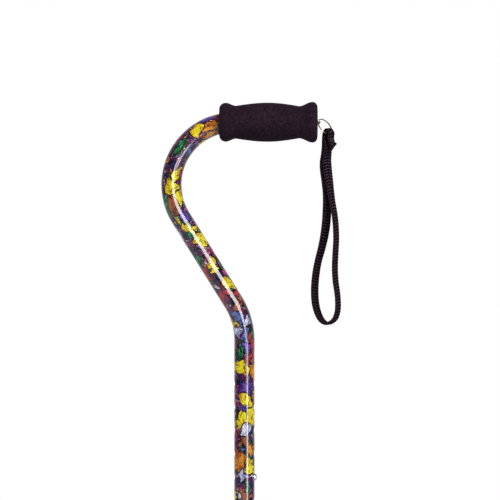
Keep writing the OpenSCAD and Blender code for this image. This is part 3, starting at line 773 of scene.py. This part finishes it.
eye = {"middle": (79.8, -25, 816), "turn": 46, "radius": 2.3, "wire": 1.6, "shank": 9}
eyeTurn, eyeMiddle = radians(eye["turn"]), Vector(eye["middle"])
eyeAxis = Vector((0, cos(eyeTurn), sin(eyeTurn)))
eyeLoop = bentWire("eyeLoop", eyeMiddle, (-1, 0, 0), eyeAxis, eye["radius"], eye["wire"])
shankFrom = plug["from"] + plug["top"] - eye["shank"]
shankLine = [(shankFrom, axisY, gripZ), eyeMiddle - Vector((eye["radius"], 0, 0))]
eyeShank = bendTube("eyeShank", shankLine, [0, 0], eye["wire"] / 2, sides=20)
smooth(eyeShank, 50)
screwEye = joined("screwEye", eyeLoop, eyeShank)
add(screwEye, "handle", "nickel", "strap_eye")

ring = {
    "middle": (87.843, -20.315, 811.475), "along": (0.77715, 0.4527, -0.43716), "radius": 9.8, "wire": 1.3,
    "gap": 3, "gapAt": 60,
}
ringBack, gapAt = -Vector(ring["along"]), radians(ring["gapAt"])
gapWay = ringBack * cos(gapAt) + eyeAxis * sin(gapAt)
wireRing = bentWire("wireRing", ring["middle"], gapWay, ringBack.cross(eyeAxis),
                    ring["radius"], ring["wire"], ring["gap"])
add(wireRing, "ring", "nickel", "strap_ring")
print("end plug, screw eye and ring made")


# lock nut with finger ribs, and the sleeve that it turns on
collar = {
    "outline": (  # radius, height
        (9.9, 262.5), (15.2, 262.5), (16.3, 262.85), (16.85, 263.6), (17, 264.5), (17, 290.7), (16.8, 291.8),
        (16.2, 292.5), (15.6, 292.7), (14.4, 292.7), (14.4, 271.5), (11.4, 264.9), (9.9, 264.9), (9.9, 262.5),
    ),
    "ribsOutside": 16.8, "ribsLevel": 0.02, "ribs": 16, "ribHeight": 1.15, "ribWidth": 2, "ribPitch": 5,
    "ribEdge": 0.45,
}
lockNut = spinOutline("lockNut", collar["outline"], collar["ribs"] * collar["ribPitch"])


def onRib(middle, normal):
    turned = atan2(middle.y, middle.x) / (2 * pi) % 1
    step = int(turned * collar["ribs"] * collar["ribPitch"]) % collar["ribPitch"]
    onWall = hypot(middle.x, middle.y) > collar["ribsOutside"] * mm and abs(normal.z) < collar["ribsLevel"]
    return onWall and step < collar["ribWidth"]


pickOnly(lockNut)
bpy.ops.object.mode_set(mode="EDIT")
bpy.ops.mesh.select_mode(type="FACE")
bpy.ops.mesh.select_all(action="DESELECT")
bpy.ops.object.mode_set(mode="OBJECT")
for face in lockNut.data.polygons:
    face.select = onRib(face.center, face.normal)
bpy.ops.object.mode_set(mode="EDIT")
bpy.ops.mesh.extrude_region_shrink_fatten(TRANSFORM_OT_shrink_fatten={"value": collar["ribHeight"] * mm})
bpy.ops.object.mode_set(mode="OBJECT")
bevelEdges(lockNut, collar["ribEdge"], 3, 35)
place(lockNut, (0, axisY, 0))
add(smooth(lockNut, 40), "lock_nut", "black_plastic", "lock_nut")

sleeve = {
    "outline": (  # radius, height
        (9.9, 271.5), (13.0, 271.5), (13.3, 271.9), (13.3, 293), (17, 293), (16.9, 293.6), (16.2, 296.2),
        (15.7, 296.85), (15, 297), (11.6, 297), (11.12, 296.7), (11.12, 273), (9.9, 273), (9.9, 271.5),
    ),
}
threadSleeve = spinOutline("threadSleeve", sleeve["outline"], 96, (0, axisY, 0))
add(smooth(threadSleeve), "handle", "black_plastic", "thread_sleeve")
print("lock collar made")


# lower tube and base post
buttonZ, boltZ = 430, 142
shaft = {
    "radius": 9.525, "wall": 1.2, "bottom": 96, "top": 464, "edge": 0.3, "bands": (136, 148, 424, 436),
    "holes": ((10, buttonZ, alongX, 4.05, 12), (0, boltZ, alongY, 3.05, 30)),  # x, z, turn, radius, depth
}
post = {
    "radius": 12.675, "wall": 3.1, "bottom": 88, "top": 156, "edge": 0.9, "bands": (136, 148),
    "holes": ((0, boltZ, alongY, 3.05, 40),),
}


def makePipe(name, pipe):  # with rounded ends, and bands of faces around its holes
    outside, inside, bottom, top = pipe["radius"], pipe["radius"] - pipe["wall"], pipe["bottom"], pipe["top"]
    edge, ease, bands = pipe["edge"], 0.3 * pipe["edge"], pipe["bands"]
    piece = spinOutline(name, [
        (inside, bottom + edge), (inside + edge, bottom), (outside - edge, bottom),
        (outside - ease, bottom + ease), (outside, bottom + edge), *[(outside, z) for z in bands],
        (outside, top - edge), (outside - ease, top - ease), (outside - edge, top),
        (inside + edge, top), (inside, top - edge), *[(inside, z) for z in reversed(bands)],
        (inside, bottom + edge),
    ], 96, (0, axisY, 0))
    for x, z, turn, radius, depth in pipe["holes"]:
        drillHole(piece, (x, axisY, z), turn, radius, depth)
    return smooth(piece)


lowerTube = add(makePipe("lowerTube", shaft), "base", "anodised", "lower_tube")
basePost = add(makePipe("basePost", post), "base", "black_steel", "base_post")
print("lower tube and post made")


# snap spring: a folded strip that gives way as the button goes in
spring = {
    "width": 7, "thick": 0.7, "back": -7.154, "front": 5.602, "bend": 2.081, "drop": 44, "bendSteps": 12,
    "backHalf": 3.75, "frontHalf": 4.8, "step": 3, "edge": 0.1,
}


def springLine():  # x and z in mm from the button: down the far wall, round the bend, up behind the button
    corners = [(spring["back"], spring["backHalf"]), (spring["back"], -spring["backHalf"])]
    for k in range(spring["bendSteps"] + 1):
        a = pi * (1 + k / spring["bendSteps"])
        corners.append((spring["bend"] * cos(a), spring["bend"] * sin(a) - spring["drop"]))
    corners += [(spring["front"], -spring["frontHalf"]), (spring["front"], spring["frontHalf"])]
    line = corners[:1]
    for a, b in zip(corners, corners[1:]):  # in short steps, so that the arm can bend
        count = max(1, round(dist(a, b) / spring["step"]))
        for k in range(1, count + 1):
            line.append((a[0] + (b[0] - a[0]) * k / count, a[1] + (b[1] - a[1]) * k / count))
    return line


bpy.ops.mesh.primitive_plane_add(size=spring["width"] * mm)
snapSpring = named("snapSpring")
editAll(snapSpring)
bpy.ops.transform.resize(value=(0, 1, 1))  # the plane becomes one edge across the strip
bpy.ops.mesh.remove_doubles(threshold=sameSpot)
bpy.ops.mesh.delete(type="ONLY_FACE")
bpy.ops.mesh.select_all(action="SELECT")
drawAlong(springLine())
closeMesh()
addModifier(snapSpring, "SOLIDIFY", thickness=spring["thick"] * mm, offset=0, use_even_offset=True)
bevelEdges(snapSpring, spring["edge"], 2, 60)
smooth(snapSpring)
place(snapSpring, (0, axisY, buttonZ))
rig.blend(
    snapSpring, "base", "button",
    start=(spring["bend"] * mm, axisY * mm, buttonZ * mm),
    end=((spring["front"] - spring["thick"] / 2) * mm, axisY * mm, buttonZ * mm),
)
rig.replaces(snapSpring, "snap_spring")
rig.slot(snapSpring, "spring_steel")
print("snap spring:", len(snapSpring.data.polygons), "faces")


# snap button, turned with a domed nose and a flange behind it
button = {
    "radius": 3.75, "dome": 1.82, "noseFrom": 11.88,
    "flange": (  # radius, along
        (0, 5.952), (4.65, 5.952), (4.8, 6.102), (4.8, 6.502), (4.65, 6.652), (3.75, 6.652),
    ),
}
snapButton = spinOutline("snapButton", [
    *button["flange"],
    *[(button["radius"] * cos(a), button["noseFrom"] + button["dome"] * sin(a)) for a in quarterTurn(12)],
], 64, (0, axisY, buttonZ), alongX)
add(smooth(snapButton, 35), "button", "spring_steel", "snap_button")
print("snap button made")


# leg hoops and their weld beads
hoop = {
    "outside": 15.9, "wall": 1.5, "footX": 85, "footY": 58.5, "bottom": 10.2, "kneeZ": 78, "kneeBend": 38,
    "crownZ": 112, "crownHalf": 22, "crownBend": 45, "crownAway": 19.625,
}
weld = {"ring": 4.6, "thick": 1.5, "wide": 5.3, "high": 4.3, "proud": 0.25, "ripples": 22, "ripple": 0.14}


def legHoop(name, side):  # two legs and the crown between them, cut to sit on the post
    footX, footY, crownY = hoop["footX"], side * hoop["footY"], axisY + side * hoop["crownAway"]
    half = [
        (footX, footY, hoop["bottom"]), (footX, footY, hoop["kneeZ"]),
        (hoop["crownHalf"], crownY, hoop["crownZ"]),
    ]
    line = [(-x, y, z) for x, y, z in half] + half[::-1]
    bends = [0, hoop["kneeBend"], hoop["crownBend"], hoop["crownBend"], hoop["kneeBend"], 0]
    piece = bendTube(name, line, bends, hoop["outside"] / 2, hoop["wall"], sides=48, steps=20)
    postMiddle, postHeight = (post["bottom"] + post["top"]) / 2, post["top"] - post["bottom"]
    drillHole(piece, (0, axisY, postMiddle), (0, 0, 0), post["radius"], postHeight)
    return smooth(piece)


nearHoop = add(legHoop("nearHoop", -1), "base", "black_steel", "near_leg_hoop")
farHoop = add(legHoop("farHoop", 1), "base", "black_steel", "far_leg_hoop")

bpy.ops.mesh.primitive_torus_add(
    major_segments=132, minor_segments=12, major_radius=weld["ring"] * mm, minor_radius=weld["thick"] * mm)
farWeld = named("farWeld")
for vertex in farWeld.data.vertices:  # the ring hugs the post and ripples like a row of drops
    x, y, z = vertex.co / mm
    turned = atan2(y, x)
    ripple = 1 + weld["ripple"] * abs(cos(turned * weld["ripples"] / 2))
    out = (hypot(x, y) - weld["ring"]) * ripple
    across, up = (weld["wide"] + out) * cos(turned), (weld["high"] + out) * sin(turned)
    onPost = sqrt(post["radius"] ** 2 - across**2) + weld["proud"]
    vertex.co = Vector((across, onPost + z * ripple, up)) * mm
nearWeld = copyOf(farWeld, "nearWeld")
for piece, turn in ((farWeld, 0), (nearWeld, pi)):
    place(piece, (0, axisY, hoop["crownZ"]), (0, 0, turn))
    editAll(piece)
    closeMesh()
    add(smooth(piece, 70), "base", "black_steel")
print("hoops and welds made")


# rubber tips: one made, then copied to each foot
tip = {
    "height": 34, "neck": 11.5, "foot": 16.5, "edge": 4, "flare": 9, "sole": 9,
    "treads": (4.8, 8.8, 12.8), "treadShape": ((0, 0), (0.2, 1.6), (1.4, 1.6), (1.6, 0)),  # outwards, up
    "footEase": ((0.7, 0), (0.2, 0.2), (0, 0.7)),  # in from the foot, up
    "grooves": (16.5, 20.2, 23.9),
    "grooveShape": ((0, -1), (0.5, -0.7), (0.65, 0), (0.5, 0.7), (0, 1)),  # deep, up
    "rim": ((0, 5.4), (0.45, 4.6), (0.45, 1.6), (0, 0.5), (-0.8, 0)),  # proud of the neck, down
    "mouth": ((8.9, 0), (8.2, 0.3), (7.97, 1)),  # radius, down
}


def tipOutline():
    top, neck, foot = tip["height"], tip["neck"], tip["foot"]
    points = [(0, 0)] + [(r + out, up) for r in tip["treads"] for out, up in tip["treadShape"]]
    points += [(foot - inset, up) for inset, up in tip["footEase"]]
    for a in quarterTurn(12):
        points.append((neck + (foot - neck) * (1 - sin(a)), tip["edge"] + tip["flare"] * (1 - cos(a))))
    points += [(neck - deep, z + up) for z in tip["grooves"] for deep, up in tip["grooveShape"]]
    points += [(neck + proud, top - down) for proud, down in tip["rim"]]
    points += [(r, top - down) for r, down in tip["mouth"]]
    return points + [(tip["mouth"][-1][0], tip["sole"]), (0, tip["sole"])]


rubberTip = spinOutline("tipNearLeft", tipOutline(), 72)
smooth(rubberTip, 42)
feet = [(side, hand) for side in ("Near", "Far") for hand in ("Left", "Right")]
tips = [rubberTip] + [copyOf(rubberTip, f"tip{side}{hand}") for side, hand in feet[1:]]
for piece, (side, hand) in zip(tips, feet):
    footX = -hoop["footX"] if hand == "Left" else hoop["footX"]
    footY = -hoop["footY"] if side == "Near" else hoop["footY"]
    place(piece, (footX, footY, 0))
    add(piece, "base", "rubber", f"tip_{side}_{hand}".lower())
print("rubber tips made")


# bolt and lock nut through the post
bolt = {
    "radius": 3, "flats": 10, "head": 4, "nut": 4, "seat": 15.175, "reach": 22.675, "point": 0.5,
    "threadsFrom": 16, "threads": 6, "threadDeep": 0.45,
    "chamferIn": 0.95, "chamferUp": 0.75, "chamferOut": 0.4, "overlap": 1, "nutCollar": (  # radius, height
        (3.05, 3.9), (4.5, 3.9), (4.5, 5.2), (4.25, 5.75), (3.8, 6), (3.2, 5.9), (3.05, 5.6), (3.05, 3.9),
    ),
}
boltTurn = (-pi / 2, 0, 0)


def hexBlock(name, height, chamferTop):  # its lower corners are chamfered, and its upper ones where asked
    corner = bolt["flats"] / 2 / cos(pi / 6)
    bpy.ops.mesh.primitive_cylinder_add(
        vertices=6, radius=corner * mm, depth=height * mm, location=(0, 0, height / 2 * mm))
    piece = named(name)
    settle(piece)
    low, wide, up = corner - bolt["chamferIn"], corner + bolt["chamferOut"], bolt["chamferUp"]
    high = low if chamferTop else corner + bolt["overlap"]
    lens = spinOutline("chamfer", [
        (0, 0), (low, 0), (wide, up), (wide, height - up), (high, height), (0, height)], 64)
    cutBy(piece, lens, "INTERSECT")
    return smooth(piece, 25)


headBlock = place(hexBlock("boltHead", bolt["head"], False), (0, 0, -bolt["seat"] - bolt["head"]))
boltRadius = bolt["radius"]
boltOutline = [(0, -bolt["seat"]), (boltRadius, -bolt["seat"])]
for z in range(bolt["threadsFrom"], bolt["threadsFrom"] + bolt["threads"]):  # one thread for each mm
    boltOutline += [(boltRadius, z), (boltRadius - bolt["threadDeep"], z + 0.5), (boltRadius, z + 1)]
boltOutline += [(boltRadius - bolt["point"], bolt["reach"]), (0, bolt["reach"])]
boltShank = spinOutline("boltShank", boltOutline, 48)
smooth(boltShank, 30)
baseBolt = joined("baseBolt", headBlock, boltShank)
place(baseBolt, (0, axisY, boltZ), boltTurn)
add(baseBolt, "base", "zinc", "base_bolt")

nutBlock = hexBlock("nutBlock", bolt["nut"], True)
nutCollar = spinOutline("nutCollar", bolt["nutCollar"], 48)
smooth(nutCollar, 40)
baseNut = joined("baseNut", nutBlock, nutCollar)
place(baseNut, (0, axisY + bolt["seat"], boltZ), boltTurn)
add(baseNut, "base", "zinc", "base_nut")
print("bolt and nut made")


# finishes
def printFinish():  # petals and leaves scattered on dark plum, under a clear coat
    feed, join = newFinish(
        "printedTube", Roughness=0.4, Specular_IOR_Level=0.0, Coat_Weight=1, Coat_Roughness=0.14)
    flat = feed.node("Attribute", output="Vector", attribute_name="unbent").moved(shift=(0, 0, 91))
    colour = flat.noise(0.085, 3, 0.6).ramp([
        (0.30, (0.004, 0.010, 0.012)), (0.41, (0.004, 0.002, 0.005)), (0.47, (0.034, 0.018, 0.11)),
        (0.52, (0.005, 0.002, 0.004)), (0.58, (0.14, 0.010, 0.05)), (0.65, (0.17, 0.008, 0.10)),
        (0.74, (0.030, 0.006, 0.010)),
    ])

    drift = flat.moved(shift=(31, 7, 12)).noise(0.12, 2, 0.6).fade(0.44, 0.60)
    for size, share in ((0.42, 0.5), (0.95, 0.42)):  # specks of two sizes
        tint = flat.cells(size).parts()
        speckColour = tint[1].ramp([
            (0.0, (0.20, 0.08, 0.52)), (0.24, (0.56, 0.03, 0.26)), (0.60, (0.70, 0.58, 0.72)),
            (0.77, (0.68, 0.38, 0.03)),
        ], "CONSTANT")
        speck = flat.cells(size, "Distance").fade(0.52, 0.36) * (tint[0] < share) * drift
        colour = speck.mix(colour, speckColour)

    leafPlace = flat.moved((0.115, 0.115, 0.052), (0.5, 0.25, 0.3))
    leaf = leafPlace.cells(1.0, "Distance", "DISTANCE_TO_EDGE").fade(0.05, 0.09)
    leafColour = flat.moved((1, 1, 0.4), (0.4, 0.2, 0)).noise(0.42, 3, 0.7).ramp([
        (0.38, (0.001, 0.008, 0.005)), (0.50, (0.006, 0.075, 0.016)), (0.58, (0.03, 0.22, 0.06)),
        (0.66, (0.06, 0.42, 0.38)),
    ])
    colour = (leaf * (leafPlace.cells().parts()[0] < 0.34)).mix(colour, leafColour)

    wander = flat.noise(0.11, 1, 0.4, "Color")
    swirl = feed.node("VectorMath", {0: wander, 1: (12, 12, 12), 2: flat}, operation="MULTIPLY_ADD")
    petalPlace = swirl.moved((0.082, 0.082, 0.062), (0.25, -0.35, 0))
    petal = petalPlace.cells(1.0, "Distance", "DISTANCE_TO_EDGE")
    middle = petalPlace.cells(1.0, "Distance")
    cell = petalPlace.cells().parts()
    picked = cell[0] < 0.55
    light = cell[1].ramp([
        (0.0, (0.90, 0.78, 0.015)), (0.28, (0.80, 0.34, 0.02)), (0.41, (0.80, 0.80, 0.91)),
        (0.53, (0.50, 0.05, 0.06)), (0.65, (0.50, 0.04, 0.27)), (0.71, (0.16, 0.075, 0.46)),
        (0.77, (0.44, 0.14, 0.06)), (0.89, (0.13, 0.19, 0.50)),
    ], "CONSTANT")
    dark = cell[1].ramp([
        (0.0, (0.52, 0.30, 0.008)), (0.28, (0.32, 0.055, 0.01)), (0.41, (0.14, 0.17, 0.42)),
        (0.53, (0.11, 0.005, 0.02)), (0.65, (0.12, 0.006, 0.06)), (0.71, (0.020, 0.008, 0.08)),
        (0.77, (0.08, 0.014, 0.009)), (0.89, (0.016, 0.020, 0.09)),
    ], "CONSTANT")
    streak = swirl.moved((1, 1, 0.35), (0.5, 0.2, 0.4)).noise(0.42, 4, 0.7)
    facet = swirl.moved((0.30, 0.30, 0.14), (0.4, -0.3, 0.2)).cells().parts()[2]
    petalColour = (streak + middle * 0.3 + facet * 0.3).fade(0.60, 1.02).mix(light, dark)
    vein = feed.maths("ABSOLUTE", swirl.moved((1, 1, 0.5), (0.3, 0.5, 0)).noise(0.22, 1, 0.4) - 0.5)
    petalColour = (vein.fade(0.024, 0.012) * 0.9).mix(petalColour, (0.012, 0.004, 0.010, 1))
    colour = (petal.fade(0.015, 0.025) * picked).mix(colour, (0.004, 0.002, 0.006, 1))  # a dark rim
    colour = (petal.fade(0.05, 0.065) * picked).mix(colour, petalColour)
    return join(Base_Color=colour)


def foamFinish():  # dense aubergine foam with fine open cells
    where, join = placedFinish("foamRubber", Specular_IOR_Level=0.06)
    grain = where.noise(900, 3, 0.6)
    tone = (grain * 0.35 + where.noise(420, 2, 0.6) * 0.45 + where.noise(60, 3, 0.6) * 0.2).ramp([
        (0.36, (0.0062, 0.0026, 0.0058)), (0.5, (0.0185, 0.0086, 0.0165)), (0.64, (0.036, 0.0185, 0.034)),
    ])
    height = where.cells(1500.0, "Distance") * 0.6 + grain * 0.5
    return join(Base_Color=tone, Roughness=0.86 + 0.1 * grain, Normal=height.bump(0.5, 0.35))


def braidFinish():  # dark yarns in two rows of slanted ribs, with painted highlights on their crowns and painted shade in the grooves
    feed, join = newFinish("braidYarn", Specular_IOR_Level=0.0)
    u, v, _ = feed.node("UVMap", uv_map="braid").parts()
    column = feed.maths("FLOOR", v)
    w = 2 * (v - column) - 1
    leanSign = 2 * (column % 2) - 1
    rib = 0.5 + 0.5 * feed.maths("COSINE", (u + leanSign * w * strap["slant"]) * 2 * pi)
    onFace = v < strap["columns"]
    dots = 0.82 - 0.18 * feed.maths("COSINE", w * 2 * pi)
    # painted highlight on the rib crowns, painted shade in the grooves and towards each column's edge; the thin edges
    # get a mid tone
    crown = rib * dots * (1 - 0.7 * w * w * w * w) * onFace + 0.55 * (1 - onFace)
    thread = feed.maths("SINE", (u * 0.4 - leanSign * w * 0.9) * 40)
    where = feed.objectPlace()
    fuzz = where.noise(1400, 2, 0.6)
    tone = (crown * 0.85 + (fuzz - 0.5) * 0.5 + thread * 0.06).fade(0.08, 0.95)
    grey = tone.ramp([
        (0.0, (0.0056, 0.0035, 0.0054)), (0.4, (0.0195, 0.0118, 0.0185)), (1.0, (0.100, 0.070, 0.093)),
    ])
    plum = tone.ramp([
        (0.0, (0.0066, 0.0032, 0.0056)), (0.4, (0.0232, 0.0106, 0.0180)), (1.0, (0.118, 0.064, 0.090)),
    ])
    colour = where.noise(55, 2, 0.5).fade(0.45, 0.65).mix(grey, plum)
    height = thread * 0.5 + fuzz * 0.6
    return join(Base_Color=colour, Roughness=0.6 + 0.25 * fuzz, Normal=height.bump(0.45, 0.12))


def threadFinish():  # sewing thread
    where, join = placedFinish("sewingThread", Specular_IOR_Level=0.1)
    twist = where.moved((1, 1, 0.4)).noise(2600, 2, 0.6)
    tone = twist.ramp([(0.35, (0.016, 0.012, 0.016)), (0.65, (0.085, 0.072, 0.084))])
    return join(Base_Color=tone, Roughness=0.6 + 0.2 * twist, Normal=twist.bump(0.4, 0.1))


def wireFinish():  # nickel plate, brown with tarnish, and painted shade that darkens its right side
    where, join = placedFinish("nickelWire", Metallic=1)
    # painted shade: the ring is darkened towards its right side (larger x), added to the random tarnish
    paintedRightShade = where.parts()[0].fade(0.0835, 0.0905)
    tarnishAndShade = where.noise(420, 3, 0.6) + 0.3 * paintedRightShade
    colour = tarnishAndShade.ramp([
        (0.35, (0.58, 0.50, 0.36)), (0.55, (0.30, 0.24, 0.17)), (0.75, (0.045, 0.030, 0.024)),
    ])
    return join(Base_Color=colour, Roughness=0.2 + 0.3 * tarnishAndShade)


def plasticFinish(name, colour):  # moulded plastic with a fine spark-eroded grain
    where, join = placedFinish(name)
    grain = where.noise(1100, 3, 0.6)
    dark = tuple(c * 0.75 for c in colour)
    light = tuple(c * 1.3 + 0.003 for c in colour)
    tone = (where.noise(40, 3, 0.6) * 0.6 + grain * 0.4).ramp([(0.3, dark), (0.7, light)])
    return join(Base_Color=tone, Roughness=0.42 + 0.22 * grain, Normal=grain.bump(0.3, 0.08))


def drawnFinish():  # satin anodised tube with drawing lines along it
    where, join = placedFinish("anodisedTube", Metallic=1)
    lines = where.moved((1, 1, 0.012)).noise(2600, 3, 0.65)
    tone = (lines * 0.6 + where.noise(70, 4, 0.6) * 0.4).ramp([
        (0.3, (0.38, 0.385, 0.395)), (0.7, (0.54, 0.545, 0.555)),
    ])
    return join(Base_Color=tone, Roughness=0.3 + 0.16 * lines, Normal=lines.bump(0.12, 0.05))


def powderFinish():  # black powder coat with orange peel
    where, join = placedFinish("powderCoat")
    peel = where.noise(520, 2, 0.5)
    tone = (where.noise(30, 3, 0.6) * 0.5 + peel * 0.5).ramp([
        (0.36, (0.009, 0.009, 0.010)), (0.64, (0.029, 0.029, 0.031)),
    ])
    return join(Base_Color=tone, Roughness=0.28 + 0.24 * peel, Normal=peel.bump(0.5, 0.16))


def rubberFinish():  # moulded rubber, dusty where it wears
    where, join = placedFinish("tipRubber", Specular_IOR_Level=0.3)
    grain = where.noise(700, 3, 0.6)
    worn = (1 - where.parts()[2].fade(0.0, 0.009)) * where.noise(90, 3, 0.6).fade(0.4, 0.7)
    tone = grain.ramp([(0.3, (0.020, 0.020, 0.021)), (0.7, (0.036, 0.035, 0.036))])
    tone = (worn * 0.5).mix(tone, (0.13, 0.125, 0.12, 1))
    return join(Base_Color=tone, Roughness=0.72 + 0.16 * grain, Normal=grain.bump(0.3, 0.15))


def zincFinish():  # bright zinc plate
    where, join = placedFinish("zincPlate", Metallic=1)
    spangle = where.cells(900.0).parts()[0]
    tone = (where.noise(160, 3, 0.6) * 0.75 + spangle * 0.25).ramp([
        (0.3, (0.62, 0.63, 0.64)), (0.75, (0.50, 0.49, 0.45)),
    ])
    return join(Base_Color=tone, Roughness=0.26 + 0.07 * spangle)


nodes, anodised = frame["nodes"], drawnFinish()
dress(handleTube, printFinish(), anodised)
wearers = (
    (foamFinish(), [foamGrip]), (braidFinish(), [wristStrap]), (threadFinish(), [seam]),
    (wireFinish(), [screwEye, wireRing]), (anodised, [lowerTube]), (rubberFinish(), tips),
    (powderFinish(), [basePost, nearHoop, farHoop, nearWeld, farWeld]),
    (zincFinish(), [snapSpring, snapButton, baseBolt, baseNut, nodes["tip_washers"]]),
    (plasticFinish("whitePlastic", (0.62, 0.62, 0.60)), [nodes["collet"]]),
    (plasticFinish("blackPlastic", (0.016, 0.015, 0.017)), [
        endPlug, lockNut, threadSleeve, nodes["tube_glide"], nodes["post_plug"], nodes["saddle_washers"],
    ]),
)
for material, pieces in wearers:
    for piece in pieces:
        dress(piece, material)
print("finishes on", 1 + sum(len(pieces) for material, pieces in wearers), "pieces")


# studio
studio = {
    "ambient": 0.45, "frontGloss": 0.14, "frontFade": (-0.1, 0.95), "floorSize": 6, "floorGlow": 0.76,
    "floorFade": (0.35, 2.4), "aim": (0, -0.025, 0.62), "slantAim": (0.115, -0.025, 0.768),
}

bpy.ops.mesh.primitive_plane_add(size=studio["floorSize"], location=(0, 0, 0))
floor = named("floor")
feed, join = newFinish("paleFloor", Base_Color=(0.55, 0.55, 0.55), Roughness=0.9)
paper = join()
paperNodes, paperLinks = paper.node_tree.nodes, paper.node_tree.links
glow = feed.node("Emission", {"Color": (1, 1, 1, 1), "Strength": 1.0})
lit = Feed(paper.node_tree, paperNodes["Principled BSDF"].outputs[0])
cameraRay, glossyRay, throughRay = feed.rays()
whiteRay = feed.maths("MAXIMUM", feed.maths("MAXIMUM", cameraRay, glossyRay), throughRay)
outward = feed.node("VectorMath", {0: feed.objectPlace()}, "Value", operation="LENGTH")
# the paper turns white towards its edge
glowShare = studio["floorGlow"] + (1 - studio["floorGlow"]) * outward.fade(*studio["floorFade"])
shown = feed.node("MixShader", {0: whiteRay * glowShare, 1: lit, 2: glow})
paperLinks.new(shown.socket, paperNodes["Material Output"].inputs["Surface"])
dress(floor, paper)
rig.stage(floor)

world = bpy.data.worlds.new("studio")
bpy.context.scene.world = world
world.use_nodes = True
sky = Feed(world.node_tree)
cameraRay, glossyRay, throughRay = sky.rays()
towards = sky.node("TexCoord", output="Generated").parts()[1]
# in reflections the room is darker in front than behind
backWall = studio["frontGloss"] + towards.fade(*studio["frontFade"]) * (1 - studio["frontGloss"])
mirrored = glossyRay * (1 - cameraRay)
level = studio["ambient"] + sky.maths("MAXIMUM", cameraRay, throughRay) * (1 - studio["ambient"])
level = level * (1 - mirrored) + backWall * mirrored
backdrop = world.node_tree.nodes["Background"]
backdrop.inputs["Color"].default_value = (1, 1, 1, 1)
world.node_tree.links.new(level.socket, backdrop.inputs["Strength"])


def addLamp(name, where, size, power, strip=False, roll=0, aim=studio["aim"]):  # places in metres
    where = Vector(where)
    bpy.ops.object.light_add(type="AREA", location=where)
    lamp = bpy.context.object
    lamp.name = name
    facing = (where - Vector(aim)).to_track_quat("Z", "Y")
    lamp.rotation_euler = (facing @ Quaternion((0, 0, 1), radians(roll))).to_euler()
    lamp.data.shape = "RECTANGLE"
    lamp.data.size, lamp.data.size_y = size
    lamp.data.energy = power
    lamp.visible_glossy, lamp.visible_diffuse = strip, not strip  # a strip only draws the gloss line


addLamp("slantStrip", (0.675, -1.6, 1.068), (0.58, 1.125), 33, True, -38, studio["slantAim"])
addLamp("lowStrip", (0.9, -1.36, 0.28), (0.46, 0.5), 9.5, True)
addLamp("keySoft", (1.0, -1.4, 1.75), (1.0, 1.4), 28)
addLamp("fillSoft", (-1.9, -1.1, 1.2), (1.2, 1.2), 10)
addLamp("backSoft", (0.4, 2.15, 1.4), (1.4, 1.0), 10)
bpy.context.scene.view_settings.view_transform = "Standard"
print("studio lit")

with open("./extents.json", "w") as out:
    json.dump({"cad": cadBox, "visual": [list(corner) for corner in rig.bounds()]}, out)
